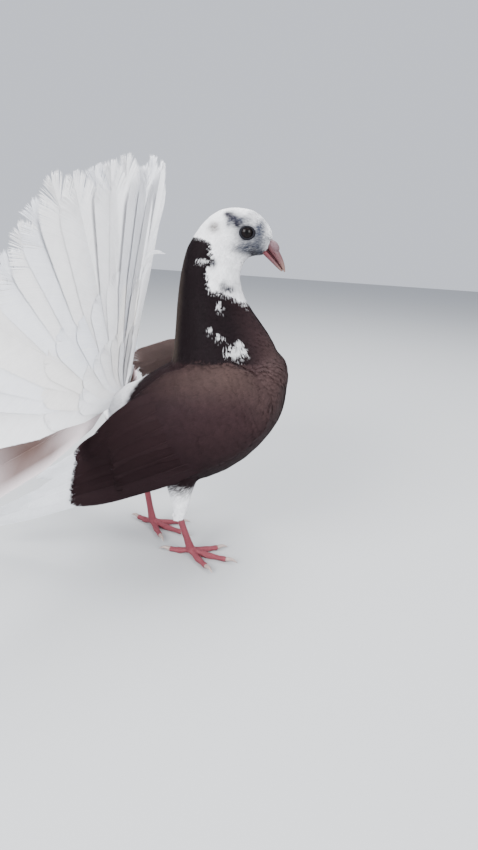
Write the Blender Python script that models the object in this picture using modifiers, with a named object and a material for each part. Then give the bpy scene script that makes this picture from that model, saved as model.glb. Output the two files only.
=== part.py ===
"""Fantail pigeon, life size, standing: a Blender script that models each named part as a closed solid.

Metres, +Z up. The bird faces +X and its left side is +Y. The feet stand at Z = 0.
Everything is modelled about the middle of the neck and moved along X at the end, so that the
origin lies on the ground under the middle of the whole bird.
"""

import math

import bmesh
import bpy
from mathutils import Vector

# Driving sizes of the whole bird
GAP = 0.0003
FRAME_SHIFT_X = 0.0700
VANE_THICKNESS = 0.0006

# Head and bill
EYE_CENTRE = (-0.0013, 0.0084, 0.2117)
EYE_RADIUS = 0.0043
LID_RADIUS = 0.0008
BILL_ROOT = (0.0085, 0.0, 0.2062)
BILL_DROP_DEG = 45.0
BILL_LENGTH = 0.0200
BILL_DEPTH = 0.0092
BILL_WIDTH = 0.0078
MOUTH_LINE = 0.42
HEAD_CUT_POINT = (-0.0215, 0.0, 0.1955)
HEAD_CUT_TILT_DEG = 24.0

# Folded wing: an axis from the wrist back and down to the wing tip
WING_WRIST = (0.0260, 0.1260)
WING_SLOPE_DEG = 28.6
SHIELD_LENGTH = 0.128
SHIELD_DEPTH = 0.0060
WING_SHINGLE = 0.17

# Tail fan: feathers radiate from one root, lean forward in the middle and sweep back at the sides
FAN_ROOT = (-0.0800, 0.0, 0.1050)
FAN_FEATHERS = 28
FAN_SPREAD_DEG = 98.0
FAN_LENGTH = 0.150
FAN_HALF_WIDTH = 0.0150
FAN_LEAN_DEG = 10.0
FAN_SWEEP_DEG = 15.0
FAN_SHINGLE = 0.13

# Legs: hock and foot joint of each, heading of the middle toe, all on the ground plane
LEGS = {
    "right": {"hock": (-0.0327, -0.0200, 0.0310), "joint": (-0.0269, -0.0120, 0.0050),
              "thigh": (-0.0330, -0.0215), "heading_deg": -8.0},
    "left": {"hock": (-0.0690, 0.0200, 0.0325), "joint": (-0.0640, 0.0204, 0.0050),
             "thigh": (-0.0560, 0.0215), "heading_deg": -18.0},
}
TARSUS_RADIUS = 0.0024
# Share of the way up from the hock, then radius
THIGH_GIRTH = [(0.0, 0.0036), (0.12, 0.0050), (0.32, 0.0068), (0.5, 0.0090), (0.7, 0.0118), (1.0, 0.0140)]
TOE_RADIUS = 0.0022
CLAW_LENGTH = 0.0065
# Toe number: angle from the heading, outwards from the body, then length to the claw
TOES = {1: (172.0, 0.0150), 2: (-38.0, 0.0205), 3: (0.0, 0.0270), 4: (38.0, 0.0215)}

# Body profiles: x, height of the back, height of the belly, half width
TORSO_STATIONS = [
    (0.0282, 0.1200, 0.1160, 0.0020), (0.0262, 0.1370, 0.1020, 0.0240), (0.0175, 0.1450, 0.0860, 0.0350),
    (0.0040, 0.1460, 0.0705, 0.0410), (-0.0150, 0.1440, 0.0575, 0.0440), (-0.0330, 0.1390, 0.0528, 0.0435),
    (-0.0500, 0.1300, 0.0550, 0.0385), (-0.0660, 0.1190, 0.0640, 0.0300), (-0.0800, 0.1120, 0.0770, 0.0200),
    (-0.0900, 0.1060, 0.0900, 0.0090),
]
# Neck and head sections: back point x and z, front point x and z, half width
NECK_STATIONS = [
    (-0.0430, 0.1020, 0.0150, 0.1000, 0.0290), (-0.0453, 0.1180, 0.0250, 0.1150, 0.0350),
    (-0.0452, 0.1300, 0.0252, 0.1290, 0.0335), (-0.0446, 0.1420, 0.0226, 0.1415, 0.0300),
    (-0.0441, 0.1540, 0.0155, 0.1535, 0.0258), (-0.0437, 0.1650, 0.0068, 0.1640, 0.0218),
    (-0.0430, 0.1760, 0.0000, 0.1735, 0.0186), (-0.0418, 0.1870, -0.0036, 0.1830, 0.0166),
    (-0.0392, 0.1985, -0.0042, 0.1895, 0.0152), (-0.0340, 0.2085, -0.0032, 0.1938, 0.0141),
    (-0.0265, 0.2185, -0.0015, 0.1968, 0.0135), (-0.0175, 0.2243, 0.0010, 0.1983, 0.0131),
    (-0.0080, 0.2256, 0.0040, 0.1990, 0.0123), (0.0010, 0.2244, 0.0066, 0.1992, 0.0107),
    (0.0068, 0.2206, 0.0086, 0.1996, 0.0088), (0.0110, 0.2158, 0.0098, 0.2004, 0.0070),
    (0.0132, 0.2115, 0.0106, 0.2018, 0.0054),
]

PALETTE = {
    "brown_plumage": ((0.085, 0.048, 0.045), 0.75),
    "white_plumage": ((0.86, 0.86, 0.88), 0.80),
    "dark_eye": ((0.015, 0.015, 0.020), 0.10),
    "pink_bill": ((0.70, 0.42, 0.40), 0.45),
    "red_leg": ((0.62, 0.16, 0.19), 0.50),
    "pale_claw": ((0.55, 0.42, 0.38), 0.40),
}


def clear_scene():
    for obj in list(bpy.data.objects):
        bpy.data.objects.remove(obj, do_unlink=True)


def make_collection(name):
    collection = bpy.data.collections.new(name)
    bpy.context.scene.collection.children.link(collection)
    return collection


def make_materials():
    made = {}
    for name, (colour, roughness) in PALETTE.items():
        material = bpy.data.materials.new(name)
        material.use_nodes = True
        shader = material.node_tree.nodes["Principled BSDF"]
        shader.inputs["Base Color"].default_value = (*colour, 1.0)
        shader.inputs["Roughness"].default_value = roughness
        made[name] = material
    return made


# Interpolation of the profiles

def smooth_stations(stations, count):
    """Rows read from a Catmull-Rom curve through the stations, closer together near both ends."""
    last = len(stations) - 1
    rows = []
    for i in range(count):
        t = last * (0.5 - 0.5 * math.cos(math.pi * i / (count - 1)))
        k = min(int(t), last - 1)
        f = t - k
        p0, p1 = stations[max(k - 1, 0)], stations[k]
        p2, p3 = stations[k + 1], stations[min(k + 2, last)]
        rows.append(tuple(
            0.5 * (2 * b + (c - a) * f + (2 * a - 5 * b + 4 * c - d) * f ** 2 + (3 * b - a - 3 * c + d) * f ** 3)
            for a, b, c, d in zip(p0, p1, p2, p3)))
    return rows


def value_at(table, x):
    """Straight interpolation in a table of (x, value), flat beyond its ends."""
    if x <= table[0][0]:
        return table[0][1]
    for (x0, v0), (x1, v1) in zip(table, table[1:]):
        if x <= x1:
            return v0 + (v1 - v0) * (x - x0) / (x1 - x0)
    return table[-1][1]


# Mesh building

def link_mesh(name, bm, collection, material):
    bmesh.ops.recalc_face_normals(bm, faces=bm.faces)
    mesh = bpy.data.meshes.new(name)
    bm.to_mesh(mesh)
    bm.free()
    if material:
        mesh.materials.append(material)
    obj = bpy.data.objects.new(name, mesh)
    collection.objects.link(obj)
    return obj


def loft(name, rings, collection, material=None):
    """A closed skin through rings of the same number of points, with a flat cap at each end."""
    bm = bmesh.new()
    rows = [[bm.verts.new(p) for p in ring] for ring in rings]
    for row, following in zip(rows, rows[1:]):
        for i in range(len(row)):
            j = (i + 1) % len(row)
            bm.faces.new((row[i], row[j], following[j], following[i]))
    caps = [bm.faces.new(rows[0]), bm.faces.new(rows[-1])]
    bmesh.ops.triangulate(bm, faces=caps)
    return link_mesh(name, bm, collection, material)


def ellipse(centre, across, up, sides):
    """Ring of points about centre, reaching across and up."""
    return [centre + across * math.cos(math.tau * i / sides) + up * math.sin(math.tau * i / sides)
            for i in range(sides)]


def ball(name, centre, radii, collection, material=None, segments=12, rings=8):
    bm = bmesh.new()
    bmesh.ops.create_uvsphere(bm, u_segments=segments, v_segments=rings, radius=1.0)
    for vert in bm.verts:
        vert.co = Vector(c + r * v for c, r, v in zip(centre, radii, vert.co))
    return link_mesh(name, bm, collection, material)


def tube(name, points, radii, collection, material=None, bevel_resolution=2):
    """A round bar through the points, as a welded mesh made from a bevelled curve."""
    curve = bpy.data.curves.new(name + "_curve", "CURVE")
    curve.dimensions = "3D"
    curve.bevel_depth = 1.0
    curve.bevel_resolution = bevel_resolution
    curve.use_fill_caps = True
    spline = curve.splines.new("POLY")
    spline.points.add(len(points) - 1)
    for point, place, radius in zip(spline.points, points, radii):
        point.co = (*place, 1.0)
        point.radius = radius
    guide = bpy.data.objects.new(name + "_curve", curve)
    bpy.context.scene.collection.objects.link(guide)
    bpy.context.view_layer.update()
    graph = bpy.context.evaluated_depsgraph_get()
    mesh = bpy.data.meshes.new_from_object(guide.evaluated_get(graph))
    bpy.data.objects.remove(guide, do_unlink=True)
    bm = bmesh.new()
    bm.from_mesh(mesh)
    bmesh.ops.remove_doubles(bm, verts=bm.verts, dist=1e-6)
    return link_mesh(name, bm, collection, material)


def sheet(name, place, rows, columns, thickness, collection, inwards=False):
    """A thin shell: a grid whose corners place(u, v) gives, u from 0 to 1 and v from -1 to 1."""
    bm = bmesh.new()
    bmesh.ops.create_grid(bm, x_segments=rows, y_segments=columns, size=1.0)
    for vert in bm.verts:
        vert.co = place(0.5 + 0.5 * vert.co.x, vert.co.y)
    bmesh.ops.triangulate(bm, faces=bm.faces, quad_method="FIXED")
    obj = link_mesh(name, bm, collection, None)
    shell = obj.modifiers.new("thickness", "SOLIDIFY")
    shell.thickness = thickness
    shell.offset = -1.0 if inwards else 0.0
    return obj


def apply_modifiers(obj):
    """The object's evaluated mesh takes the place of its own, and its modifiers go."""
    bpy.context.view_layer.update()
    graph = bpy.context.evaluated_depsgraph_get()
    mesh = bpy.data.meshes.new_from_object(obj.evaluated_get(graph))
    obj.modifiers.clear()
    obj.data = mesh


def boolean(obj, others, operation, solver="MANIFOLD"):
    """Joins or cuts with every mesh in a collection, which is then emptied."""
    step = obj.modifiers.new(operation.lower(), "BOOLEAN")
    step.operation = operation
    step.operand_type = "COLLECTION"
    step.collection = others
    step.solver = solver
    apply_modifiers(obj)
    for other in list(others.objects):
        bpy.data.objects.remove(other, do_unlink=True)
    keep_largest(obj)


def keep_largest(obj):
    """Only the closed surface with the most faces stays."""
    bm = bmesh.new()
    bm.from_mesh(obj.data)
    left = set(bm.faces)
    shells = []
    while left:
        shell, front = set(), [left.pop()]
        while front:
            face = front.pop()
            shell.add(face)
            for edge in face.edges:
                for other in edge.link_faces:
                    if other in left:
                        left.remove(other)
                        front.append(other)
        shells.append(shell)
    shells.sort(key=len)
    for shell in shells[:-1]:
        bmesh.ops.delete(bm, geom=list(shell), context="FACES")
    loose = [v for v in bm.verts if not v.link_faces]
    bmesh.ops.delete(bm, geom=loose, context="VERTS")
    bm.to_mesh(obj.data)
    bm.free()


# Torso, neck and head

def torso_rings(grow=0.0, count=18, sides=20):
    rings = []
    for x, top, bottom, half in smooth_stations(TORSO_STATIONS, count):
        centre = Vector((x, 0.0, (top + bottom) / 2))
        rings.append(ellipse(centre, Vector((0, half + grow, 0)), Vector((0, 0, (top - bottom) / 2 + grow)), sides))
    if grow:
        rings[0] = [p + Vector((grow, 0, 0)) for p in rings[0]]
        rings[-1] = [p - Vector((grow, 0, 0)) for p in rings[-1]]
    return rings


def torso_half_width(x, z):
    """How far the torso reaches sideways at a place in the side view, or 0 outside it."""
    stations = sorted(TORSO_STATIONS)
    top = value_at([(s[0], s[1]) for s in stations], x)
    bottom = value_at([(s[0], s[2]) for s in stations], x)
    half = value_at([(s[0], s[3]) for s in stations], x)
    if x < stations[0][0] or x > stations[-1][0]:
        return 0.0
    share = (z - (top + bottom) / 2) / ((top - bottom) / 2)
    return half * math.sqrt(max(0.0, 1.0 - share * share))


def neck_rings(grow=0.0, count=25, sides=16):
    rings = []
    for back_x, back_z, front_x, front_z, half in smooth_stations(NECK_STATIONS, count):
        back, front = Vector((back_x, 0, back_z)), Vector((front_x, 0, front_z))
        reach = (front - back) / 2
        reach += reach.normalized() * grow
        rings.append(ellipse((back + front) / 2, reach, Vector((0, -(half + grow), 0)), sides))
    return rings


def part_by_plane(obj, point, normal, keep_above):
    """Keeps one side of a plane and closes the cut."""
    bm = bmesh.new()
    bm.from_mesh(obj.data)
    cut = bmesh.ops.bisect_plane(
        bm, geom=bm.verts[:] + bm.edges[:] + bm.faces[:], plane_co=point, plane_no=normal,
        clear_inner=keep_above, clear_outer=not keep_above)
    rim = [e for e in cut["geom_cut"] if isinstance(e, bmesh.types.BMEdge)]
    caps = bmesh.ops.contextual_create(bm, geom=rim)["faces"]
    bmesh.ops.triangulate(bm, faces=caps)
    bmesh.ops.recalc_face_normals(bm, faces=bm.faces)
    bm.to_mesh(obj.data)
    bm.free()


def make_head_and_neck(parts, cutters, materials):
    tilt = math.radians(HEAD_CUT_TILT_DEG)
    normal = Vector((math.sin(tilt), 0.0, math.cos(tilt)))
    point = Vector(HEAD_CUT_POINT)
    neck = loft("neck", neck_rings(), parts, materials["brown_plumage"])
    part_by_plane(neck, point - normal * GAP / 2, normal, keep_above=False)
    loft("torso_cutter", torso_rings(GAP), cutters)
    boolean(neck, cutters, "DIFFERENCE")
    head = loft("head", neck_rings(), parts, materials["white_plumage"])
    part_by_plane(head, point + normal * GAP / 2, normal, keep_above=True)
    for side in (-1, 1):
        x, y, z = EYE_CENTRE
        ring = [Vector((x + EYE_RADIUS * math.cos(a), side * (y + 0.0022), z + EYE_RADIUS * math.sin(a)))
                for a in (math.tau * i / 12 for i in range(12))]
        ring_object = lid_ring("lid", ring, cutters)
        ring_object.name = "lid_%d" % side
    boolean(head, cutters, "UNION")
    for side in (-1, 1):
        x, y, z = EYE_CENTRE
        ball("socket_%d" % side, (x, side * y, z), [EYE_RADIUS + GAP] * 3, cutters)
    boolean(head, cutters, "DIFFERENCE")
    for side, name in ((-1, "eye_right"), (1, "eye_left")):
        x, y, z = EYE_CENTRE
        ball(name, (x, side * y, z), [EYE_RADIUS] * 3, parts, materials["dark_eye"])


def lid_ring(name, ring, collection):
    """A small torus that follows a closed ring of points lying in a plane across Y."""
    centre = sum(ring, Vector()) / len(ring)
    rows = []
    for point in ring:
        outwards = (point - centre).normalized()
        rows.append(ellipse(point, outwards * LID_RADIUS * 1.3, Vector((0, LID_RADIUS * 1.3, 0)), 5))
    bm = bmesh.new()
    verts = [[bm.verts.new(p) for p in row] for row in rows]
    for i, row in enumerate(verts):
        following = verts[(i + 1) % len(verts)]
        for k in range(len(row)):
            m = (k + 1) % len(row)
            bm.faces.new((row[k], row[m], following[m], following[k]))
    return link_mesh(name, bm, collection, None)


# Bill

def bill_ring(along, low, high, sides=10):
    """Section of the bill at a share of its length, between two shares of its depth."""
    drop = math.radians(BILL_DROP_DEG)
    forward = Vector((math.cos(drop), 0, -math.sin(drop)))
    up = Vector((math.sin(drop), 0, math.cos(drop)))
    taper = (1.0 - 0.30 * along - 0.55 * along ** 4) * (1.14 - 0.14 * min(1.0, 1.8 * max(along, 0.0)))
    hook = -0.0016 * along ** 3
    centre = Vector(BILL_ROOT) + forward * BILL_LENGTH * along
    depth = BILL_DEPTH * taper
    width = BILL_WIDTH / 2 * (1.0 - 0.45 * along - 0.35 * along ** 4)
    middle = centre + up * ((low + high) / 2 - 0.5) * depth + up * hook
    return ellipse(middle, up * depth * (high - low) / 2, Vector((0, width, 0)), sides)


def make_bill(parts, cutters, materials):
    shares = [-0.25, 0.0, 0.2, 0.4, 0.6, 0.78, 0.9, 1.0]
    upper = loft("bill_upper", [bill_ring(s, MOUTH_LINE + 0.02, 1.0) for s in shares], parts,
                 materials["pink_bill"])
    for side in (-1, 1):
        drop = math.radians(BILL_DROP_DEG)
        cere = Vector(BILL_ROOT) + Vector((math.cos(drop), 0, -math.sin(drop))) * 0.0046
        cere += Vector((math.sin(drop), 0, math.cos(drop))) * 0.0036
        ball("cere_%d" % side, (cere.x, side * 0.0018, cere.z), (0.0036, 0.0022, 0.0028), cutters, None, 10, 7)
    boolean(upper, cutters, "UNION")
    loft("head_cutter", neck_rings(GAP), cutters)
    boolean(upper, cutters, "DIFFERENCE")
    for side in (-1, 1):
        nostril = Vector(BILL_ROOT) + Vector((math.cos(drop), 0, -math.sin(drop))) * 0.0082
        nostril += Vector((math.sin(drop), 0, math.cos(drop))) * 0.0008
        ball("nostril_%d" % side, (nostril.x, side * 0.0035, nostril.z), (0.0011, 0.0010, 0.0007), cutters, None, 8, 6)
    boolean(upper, cutters, "DIFFERENCE")
    lower_shares = [s * 0.93 for s in shares]
    lower = loft("bill_lower", [bill_ring(s, 0.04, MOUTH_LINE - 0.02) for s in lower_shares], parts,
                 materials["pink_bill"])
    loft("head_cutter", neck_rings(GAP), cutters)
    boolean(lower, cutters, "DIFFERENCE")


# Wings

WING_AXIS = Vector((-math.cos(math.radians(WING_SLOPE_DEG)), -math.sin(math.radians(WING_SLOPE_DEG))))
WING_UP = Vector((WING_AXIS.y, -WING_AXIS.x))
# Distance along the wing, then the outline's lower and upper edge and how far out the surface lies
WING_LOWER = [(0.0045, -0.006), (0.008, -0.0130), (0.014, -0.0195), (0.034, -0.0275), (0.068, -0.0300), (0.100, -0.0240), (0.135, -0.0170)]
WING_UPPER = [(0.0045, 0.009), (0.009, 0.0190), (0.016, 0.0270), (0.032, 0.0350), (0.058, 0.0390), (0.080, 0.0340), (0.107, 0.0235),
              (0.135, 0.0130)]
WING_OUT = [(0.0, 0.0270), (0.006, 0.0355), (0.020, 0.0440), (0.050, 0.0490), (0.080, 0.0485), (0.110, 0.0455), (0.150, 0.0425),
            (0.225, 0.0390)]
WING_CURVE = [(0.0, 13.0), (0.060, 13.0), (0.110, 8.0), (0.150, 4.0), (0.225, 2.0)]
WING_SKIN = 0.0022
WING_START = 0.0045


def wing_point(along, across, height, side):
    """A place on the wing: along its axis, across it upwards, and height above its surface."""
    x = WING_WRIST[0] + WING_AXIS.x * along + WING_UP.x * across
    z = WING_WRIST[1] + WING_AXIS.y * along + WING_UP.y * across
    free = value_at(WING_OUT, along) - value_at(WING_CURVE, along) * across * across
    body = torso_half_width(x, z) + WING_SKIN
    blend = 0.002
    out = 0.5 * (free + body + math.sqrt((free - body) ** 2 + blend ** 2))
    return Vector((x, side * (out + height), z))


def vane_outline(u):
    """Half width of a vane along its length, as a share of the widest."""
    rise = min(1.0, 0.38 + 1.35 * u)
    fall = math.sqrt(max(0.0, 1.0 - max(0.0, (u - 0.62) / 0.40) ** 2))
    return rise * fall


def wing_vane(name, side, root, tip, half_width, lift, collection, rows=5, sunk=-0.0016):
    """A feather that lies on the wing from root to tip, both (along, across), lifting towards its tip."""
    span = Vector((tip[0] - root[0], tip[1] - root[1]))
    aside = Vector((-span.y, span.x)).normalized()

    def place(u, v):
        width = half_width * vane_outline(u)
        along = root[0] + span.x * u + aside.x * width * v
        across = root[1] + span.y * u + aside.y * width * v
        height = sunk + (lift - sunk) * min(1.0, 1.6 * u) - WING_SHINGLE * width * v * side_of_shingle
        return wing_point(along, across, height - 0.0006 * v * v, side)

    side_of_shingle = 1.0
    return sheet(name, place, rows, 2, VANE_THICKNESS, collection)


# Tiers: name, count, first (lowest) and last (highest) root and tip, half width, lift
WING_TIERS = [
    ("primary", 8, (0.085, -0.0150), (0.100, 0.0030), (0.2220, -0.0035), (0.1560, 0.0070), 0.0072, -0.0004, 4),
    ("secondary", 7, (0.062, -0.0210), (0.070, 0.0150), (0.1480, -0.0110), (0.1280, 0.0130), 0.0082, 0.0016, 4),
    ("tertial", 2, (0.060, 0.0180), (0.056, 0.0270), (0.1210, 0.0130), (0.1080, 0.0180), 0.0095, 0.0022, 4),
    ("greater", 5, (0.050, -0.0215), (0.054, 0.0200), (0.1120, -0.0175), (0.1000, 0.0170), 0.0096, 0.0026, 3),
    ("median", 5, (0.034, -0.0205), (0.034, 0.0245), (0.0820, -0.0225), (0.0800, 0.0225), 0.0100, 0.0024, 3),
]


RAISED_TERTIALS = [
    ((-0.0290, 0.0385, 0.1290), (-0.0780, 0.0375, 0.1120), 0.0080),
    ((-0.0210, 0.0370, 0.1385), (-0.0830, 0.0355, 0.1165), 0.0088),
]


def raised_tertials(thickness, grow, collection):
    """The far wing's innermost feathers, which stand clear of the back."""
    for i, (root, tip, half_width) in enumerate(RAISED_TERTIALS):
        root, tip = Vector(root), Vector(tip)
        aside = (tip - root).cross(Vector((0.0, 1.0, 0.25))).normalized()
        front = aside.cross(tip - root).normalized()

        def place(u, v):
            width = (half_width + grow) * vane_outline(u)
            return root.lerp(tip, u * (1 + 0.5 * grow / half_width)) + aside * width * v + front * 0.0010 * v * v

        sheet("raised_%d" % i, place, 4, 2, thickness, collection)


def make_wing(name, side, parts, cutters, materials):
    def place(u, v):
        along = WING_START + (SHIELD_LENGTH - WING_START) * u
        low, high = value_at(WING_LOWER, along), value_at(WING_UPPER, along)
        across = (low + high) / 2 + (high - low) / 2 * v
        edge = 0.0010 * max(abs(v), abs(2 * u - 1)) ** 6
        return wing_point(along, across, -edge, side)

    wing = sheet(name, place, 9, 5, SHIELD_DEPTH, parts, inwards=True)
    wing.data.materials.append(materials["brown_plumage"])
    apply_modifiers(wing)
    for tier, count, low_root, high_root, low_tip, high_tip, half_width, lift, rows in WING_TIERS:
        for i in range(count):
            t = i / (count - 1)
            bow = math.sin(math.pi * t)
            root = [a + (b - a) * t for a, b in zip(low_root, high_root)]
            tip = [a + (b - a) * t for a, b in zip(low_tip, high_tip)]
            tip[0] += 0.003 * bow * (tier != "primary")
            stack = 0.0009 * i if tier == "primary" else 0.0
            wing_vane("%s_%s_%d" % (name, tier, i), side, root, tip, half_width, lift + stack, cutters,
                      rows)
    if side > 0:
        raised_tertials(VANE_THICKNESS, 0.0, cutters)
    boolean(wing, cutters, "UNION")
    loft("torso_cutter", torso_rings(GAP), cutters)
    loft("neck_cutter", neck_rings(GAP), cutters)
    boolean(wing, cutters, "DIFFERENCE")
    return wing


# Tail

def fan_axes(angle):
    """Direction of a feather, sideways direction along the fan and the fan's front normal, at an angle from upright."""
    def direction(a):
        sweep = math.sqrt(math.sin(a) ** 2 + 0.04) - 0.2
        return Vector((
            math.sin(math.radians(FAN_LEAN_DEG)) * max(math.cos(a), 0.0) ** 1.5
            - math.sin(math.radians(FAN_SWEEP_DEG)) * 1.2 * sweep,
            math.sin(a) * math.cos(math.radians(FAN_SWEEP_DEG)),
            math.cos(a) * math.cos(math.radians(FAN_LEAN_DEG)))).normalized()
    shaft = direction(angle)
    step = 0.01
    aside = (direction(angle + step) - direction(angle - step)).normalized()
    return shaft, aside, aside.cross(shaft).normalized()


def fan_vane(name, angle, start, length, half_width, height, lift, collection, rows=6, shingle=FAN_SHINGLE):
    """One feather of the fan. Each lies over the next one out, so its outer edge is raised."""
    shaft, aside, front = fan_axes(angle)
    outward = 1.0 if angle > 0 else -1.0

    def place(u, v):
        width = half_width * vane_outline(u)
        rise = height + lift * u * u + shingle * width * v * outward - 0.0008 * v * v
        return Vector(FAN_ROOT) + shaft * (start + length * u) + aside * width * v + front * rise

    return sheet(name, place, rows, 2, VANE_THICKNESS, collection)


def make_tail(parts, cutters, materials):
    x, y, z = FAN_ROOT
    tail = ball("tail", (x - 0.001, y, z - 0.001), (0.0085, 0.0170, 0.0150), parts, materials["white_plumage"], 16, 10)
    spread = math.radians(FAN_SPREAD_DEG)
    for i in range(FAN_FEATHERS):
        angle = -spread + 2 * spread * i / (FAN_FEATHERS - 1)
        length = FAN_LENGTH - 0.008 - 0.003 * (i % 2)
        fan_vane("rectrix_%d" % i, angle, 0.008, length, FAN_HALF_WIDTH, 0.0004 * (i % 2), 0.0, cutters, 4)
    for i in range(7):
        angle = math.radians(-78 + 26 * i) + 0.02
        fan_vane("covert_front_%d" % i, angle, 0.008, 0.040, 0.0100, 0.0030, 0.0030, cutters, 3)
    for i in range(7):
        angle = math.radians(-72 + 24 * i) + 0.02
        fan_vane("covert_back_%d" % i, angle, 0.008, 0.052, 0.0120, -0.0034, -0.0036, cutters, 3)
    boolean(tail, cutters, "UNION")
    loft("torso_cutter", torso_rings(GAP), cutters)
    raised_tertials(VANE_THICKNESS + 0.0014, 0.0010, cutters)
    boolean(tail, cutters, "DIFFERENCE")


# Legs

def flatten_sole(obj):
    part_by_plane(obj, Vector((0, 0, 0)), Vector((0, 0, 1)), keep_above=True)


def thigh_rings(leg, grow=0.0):
    """The feathered shank, from inside the flank down to the hock."""
    hock = Vector(leg["hock"])
    top = Vector((*leg["thigh"], 0.0800))
    rings = []
    for share, radius in THIGH_GIRTH:
        centre = hock.lerp(top, share)
        rings.append(ellipse(centre, Vector((radius * 1.12 + grow, 0, 0)), Vector((0, radius + grow, 0)), 14))
    if grow:
        rings[0] = [p - Vector((0, 0, grow)) for p in rings[0]]
    return rings


def make_leg(side_name, parts, cutters, materials):
    leg = LEGS[side_name]
    outwards = -1.0 if side_name == "right" else 1.0
    hock, joint = Vector(leg["hock"]), Vector(leg["joint"])
    steps = 6
    spine = [hock.lerp(joint, i / (steps - 1)) for i in range(steps)]
    girth = [1.15, 0.98, 0.92, 0.95, 1.10, 1.25]
    body = tube("leg_" + side_name, spine + [joint + Vector((0.001, 0, -0.003))],
                [TARSUS_RADIUS * g for g in girth] + [TARSUS_RADIUS], parts, materials["red_leg"])
    for number, (turn, length) in TOES.items():
        angle = math.radians(leg["heading_deg"] + outwards * turn)
        forward = Vector((math.cos(angle), math.sin(angle), 0.0))
        base = Vector((joint.x, joint.y, 0.0038))
        knuckles = 5
        points, radii = [], []
        for i in range(knuckles + 1):
            t = i / knuckles
            bump = 1.0 + 0.10 * math.cos(math.tau * 2 * t)
            points.append(base + forward * length * t + Vector((0, 0, -0.0020 * min(1.0, 2.2 * t))))
            radii.append(TOE_RADIUS * (1.0 - 0.22 * t) * bump)
        tube("toe_%d" % number, points, radii, cutters)
        start = base + forward * (length + GAP + 0.0001) + Vector((0, 0, -0.0020))
        claw_points = [start, start + forward * CLAW_LENGTH * 0.35 + Vector((0, 0, 0.0004)),
                       start + forward * CLAW_LENGTH * 0.7, start + forward * CLAW_LENGTH + Vector((0, 0, -0.0010))]
        tube("claw_%s_%d" % (side_name, number), claw_points, [0.0012, 0.0011, 0.0007, 0.0003], parts,
             materials["pale_claw"], 1)
    boolean(body, cutters, "UNION")
    flatten_sole(body)
    loft("thigh_cutter", thigh_rings(leg, GAP), cutters)
    boolean(body, cutters, "DIFFERENCE")


def make_thigh(side_name, parts, cutters, materials):
    thigh = loft("thigh_" + side_name, thigh_rings(LEGS[side_name]), parts, materials["brown_plumage"])
    loft("torso_cutter", torso_rings(GAP), cutters)
    boolean(thigh, cutters, "DIFFERENCE")


def main():
    clear_scene()
    parts = make_collection("fantail_pigeon")
    cutters = make_collection("cutters")
    materials = make_materials()
    loft("torso", torso_rings(), parts, materials["brown_plumage"])
    make_head_and_neck(parts, cutters, materials)
    make_bill(parts, cutters, materials)
    make_wing("wing_right", -1.0, parts, cutters, materials)
    make_wing("wing_left", 1.0, parts, cutters, materials)
    make_tail(parts, cutters, materials)
    for side_name in LEGS:
        make_leg(side_name, parts, cutters, materials)
        make_thigh(side_name, parts, cutters, materials)
    for obj in parts.objects:
        obj.location.x = FRAME_SHIFT_X
        obj.data.shade_smooth()


main()
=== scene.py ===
# %% [markdown]
# # A fantail pigeon
# The bird stands on both feet with its neck drawn up and its tail spread into a fan behind it.
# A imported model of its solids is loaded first, and this file dresses it: one skin over the flesh,
# small feathers laid over the skin in the direction they grow, long feathers built barb by barb on
# the wings and tail, and the bare parts (eyes, bill, legs and claws) modelled on their own.

# %% Load the frame
import math

import bpy
import numpy as np
from mathutils import Matrix, Vector, kdtree
from mathutils.bvhtree import BVHTree


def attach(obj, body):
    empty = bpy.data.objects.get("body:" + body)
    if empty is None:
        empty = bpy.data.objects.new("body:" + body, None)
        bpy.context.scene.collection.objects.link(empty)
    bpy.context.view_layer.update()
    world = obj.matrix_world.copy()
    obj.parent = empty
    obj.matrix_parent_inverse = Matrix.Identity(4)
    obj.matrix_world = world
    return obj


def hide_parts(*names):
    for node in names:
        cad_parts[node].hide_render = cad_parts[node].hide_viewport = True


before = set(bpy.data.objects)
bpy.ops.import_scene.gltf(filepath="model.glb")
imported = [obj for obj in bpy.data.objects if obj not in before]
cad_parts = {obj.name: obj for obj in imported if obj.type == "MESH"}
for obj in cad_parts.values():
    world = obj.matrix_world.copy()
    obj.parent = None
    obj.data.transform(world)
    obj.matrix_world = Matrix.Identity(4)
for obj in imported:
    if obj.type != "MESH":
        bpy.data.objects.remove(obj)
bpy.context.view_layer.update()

# The bird is measured from the middle of its neck, which lies this far ahead of the origin.
AHEAD = 0.0700

# %% [markdown]
# ## Camera, floor and light
# A camera can be aimed at an object, or given its own angles. Here the angles are the photo's: the
# camera is level with the bird's eye, a little ahead of its right side, tipped down and rolled a
# little. The floor is plain, and three large soft lamps and an even sky light the bird all round.

# %% Camera
CAMERA_PLACE = (AHEAD + 0.04815, -0.34263, 0.209)
CAMERA_TURN_DEG = 8.0
CAMERA_PITCH_DEG = 18.5
CAMERA_ROLL_DEG = 3.5
FOCAL_PIXELS, FRAME_PIXELS, SENSOR_MM = 560, 850, 36.0
turn, pitch, roll = map(math.radians, (CAMERA_TURN_DEG, CAMERA_PITCH_DEG, CAMERA_ROLL_DEG))
ahead = Vector((-math.sin(turn) * math.cos(pitch), math.cos(turn) * math.cos(pitch), -math.sin(pitch)))
level = Vector((math.cos(turn), math.sin(turn), 0))
right = level * math.cos(roll) + level.cross(ahead) * math.sin(roll)
upwards = right.cross(ahead)
facing = Matrix((right, upwards, -ahead)).transposed()
bpy.ops.object.camera_add(location=CAMERA_PLACE, rotation=facing.to_euler())
camera = bpy.context.object
camera.data.lens = SENSOR_MM * FOCAL_PIXELS / FRAME_PIXELS
bpy.context.scene.camera = camera
print("camera at", CAMERA_PLACE, "with a lens of", round(camera.data.lens, 1), "mm")

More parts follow.
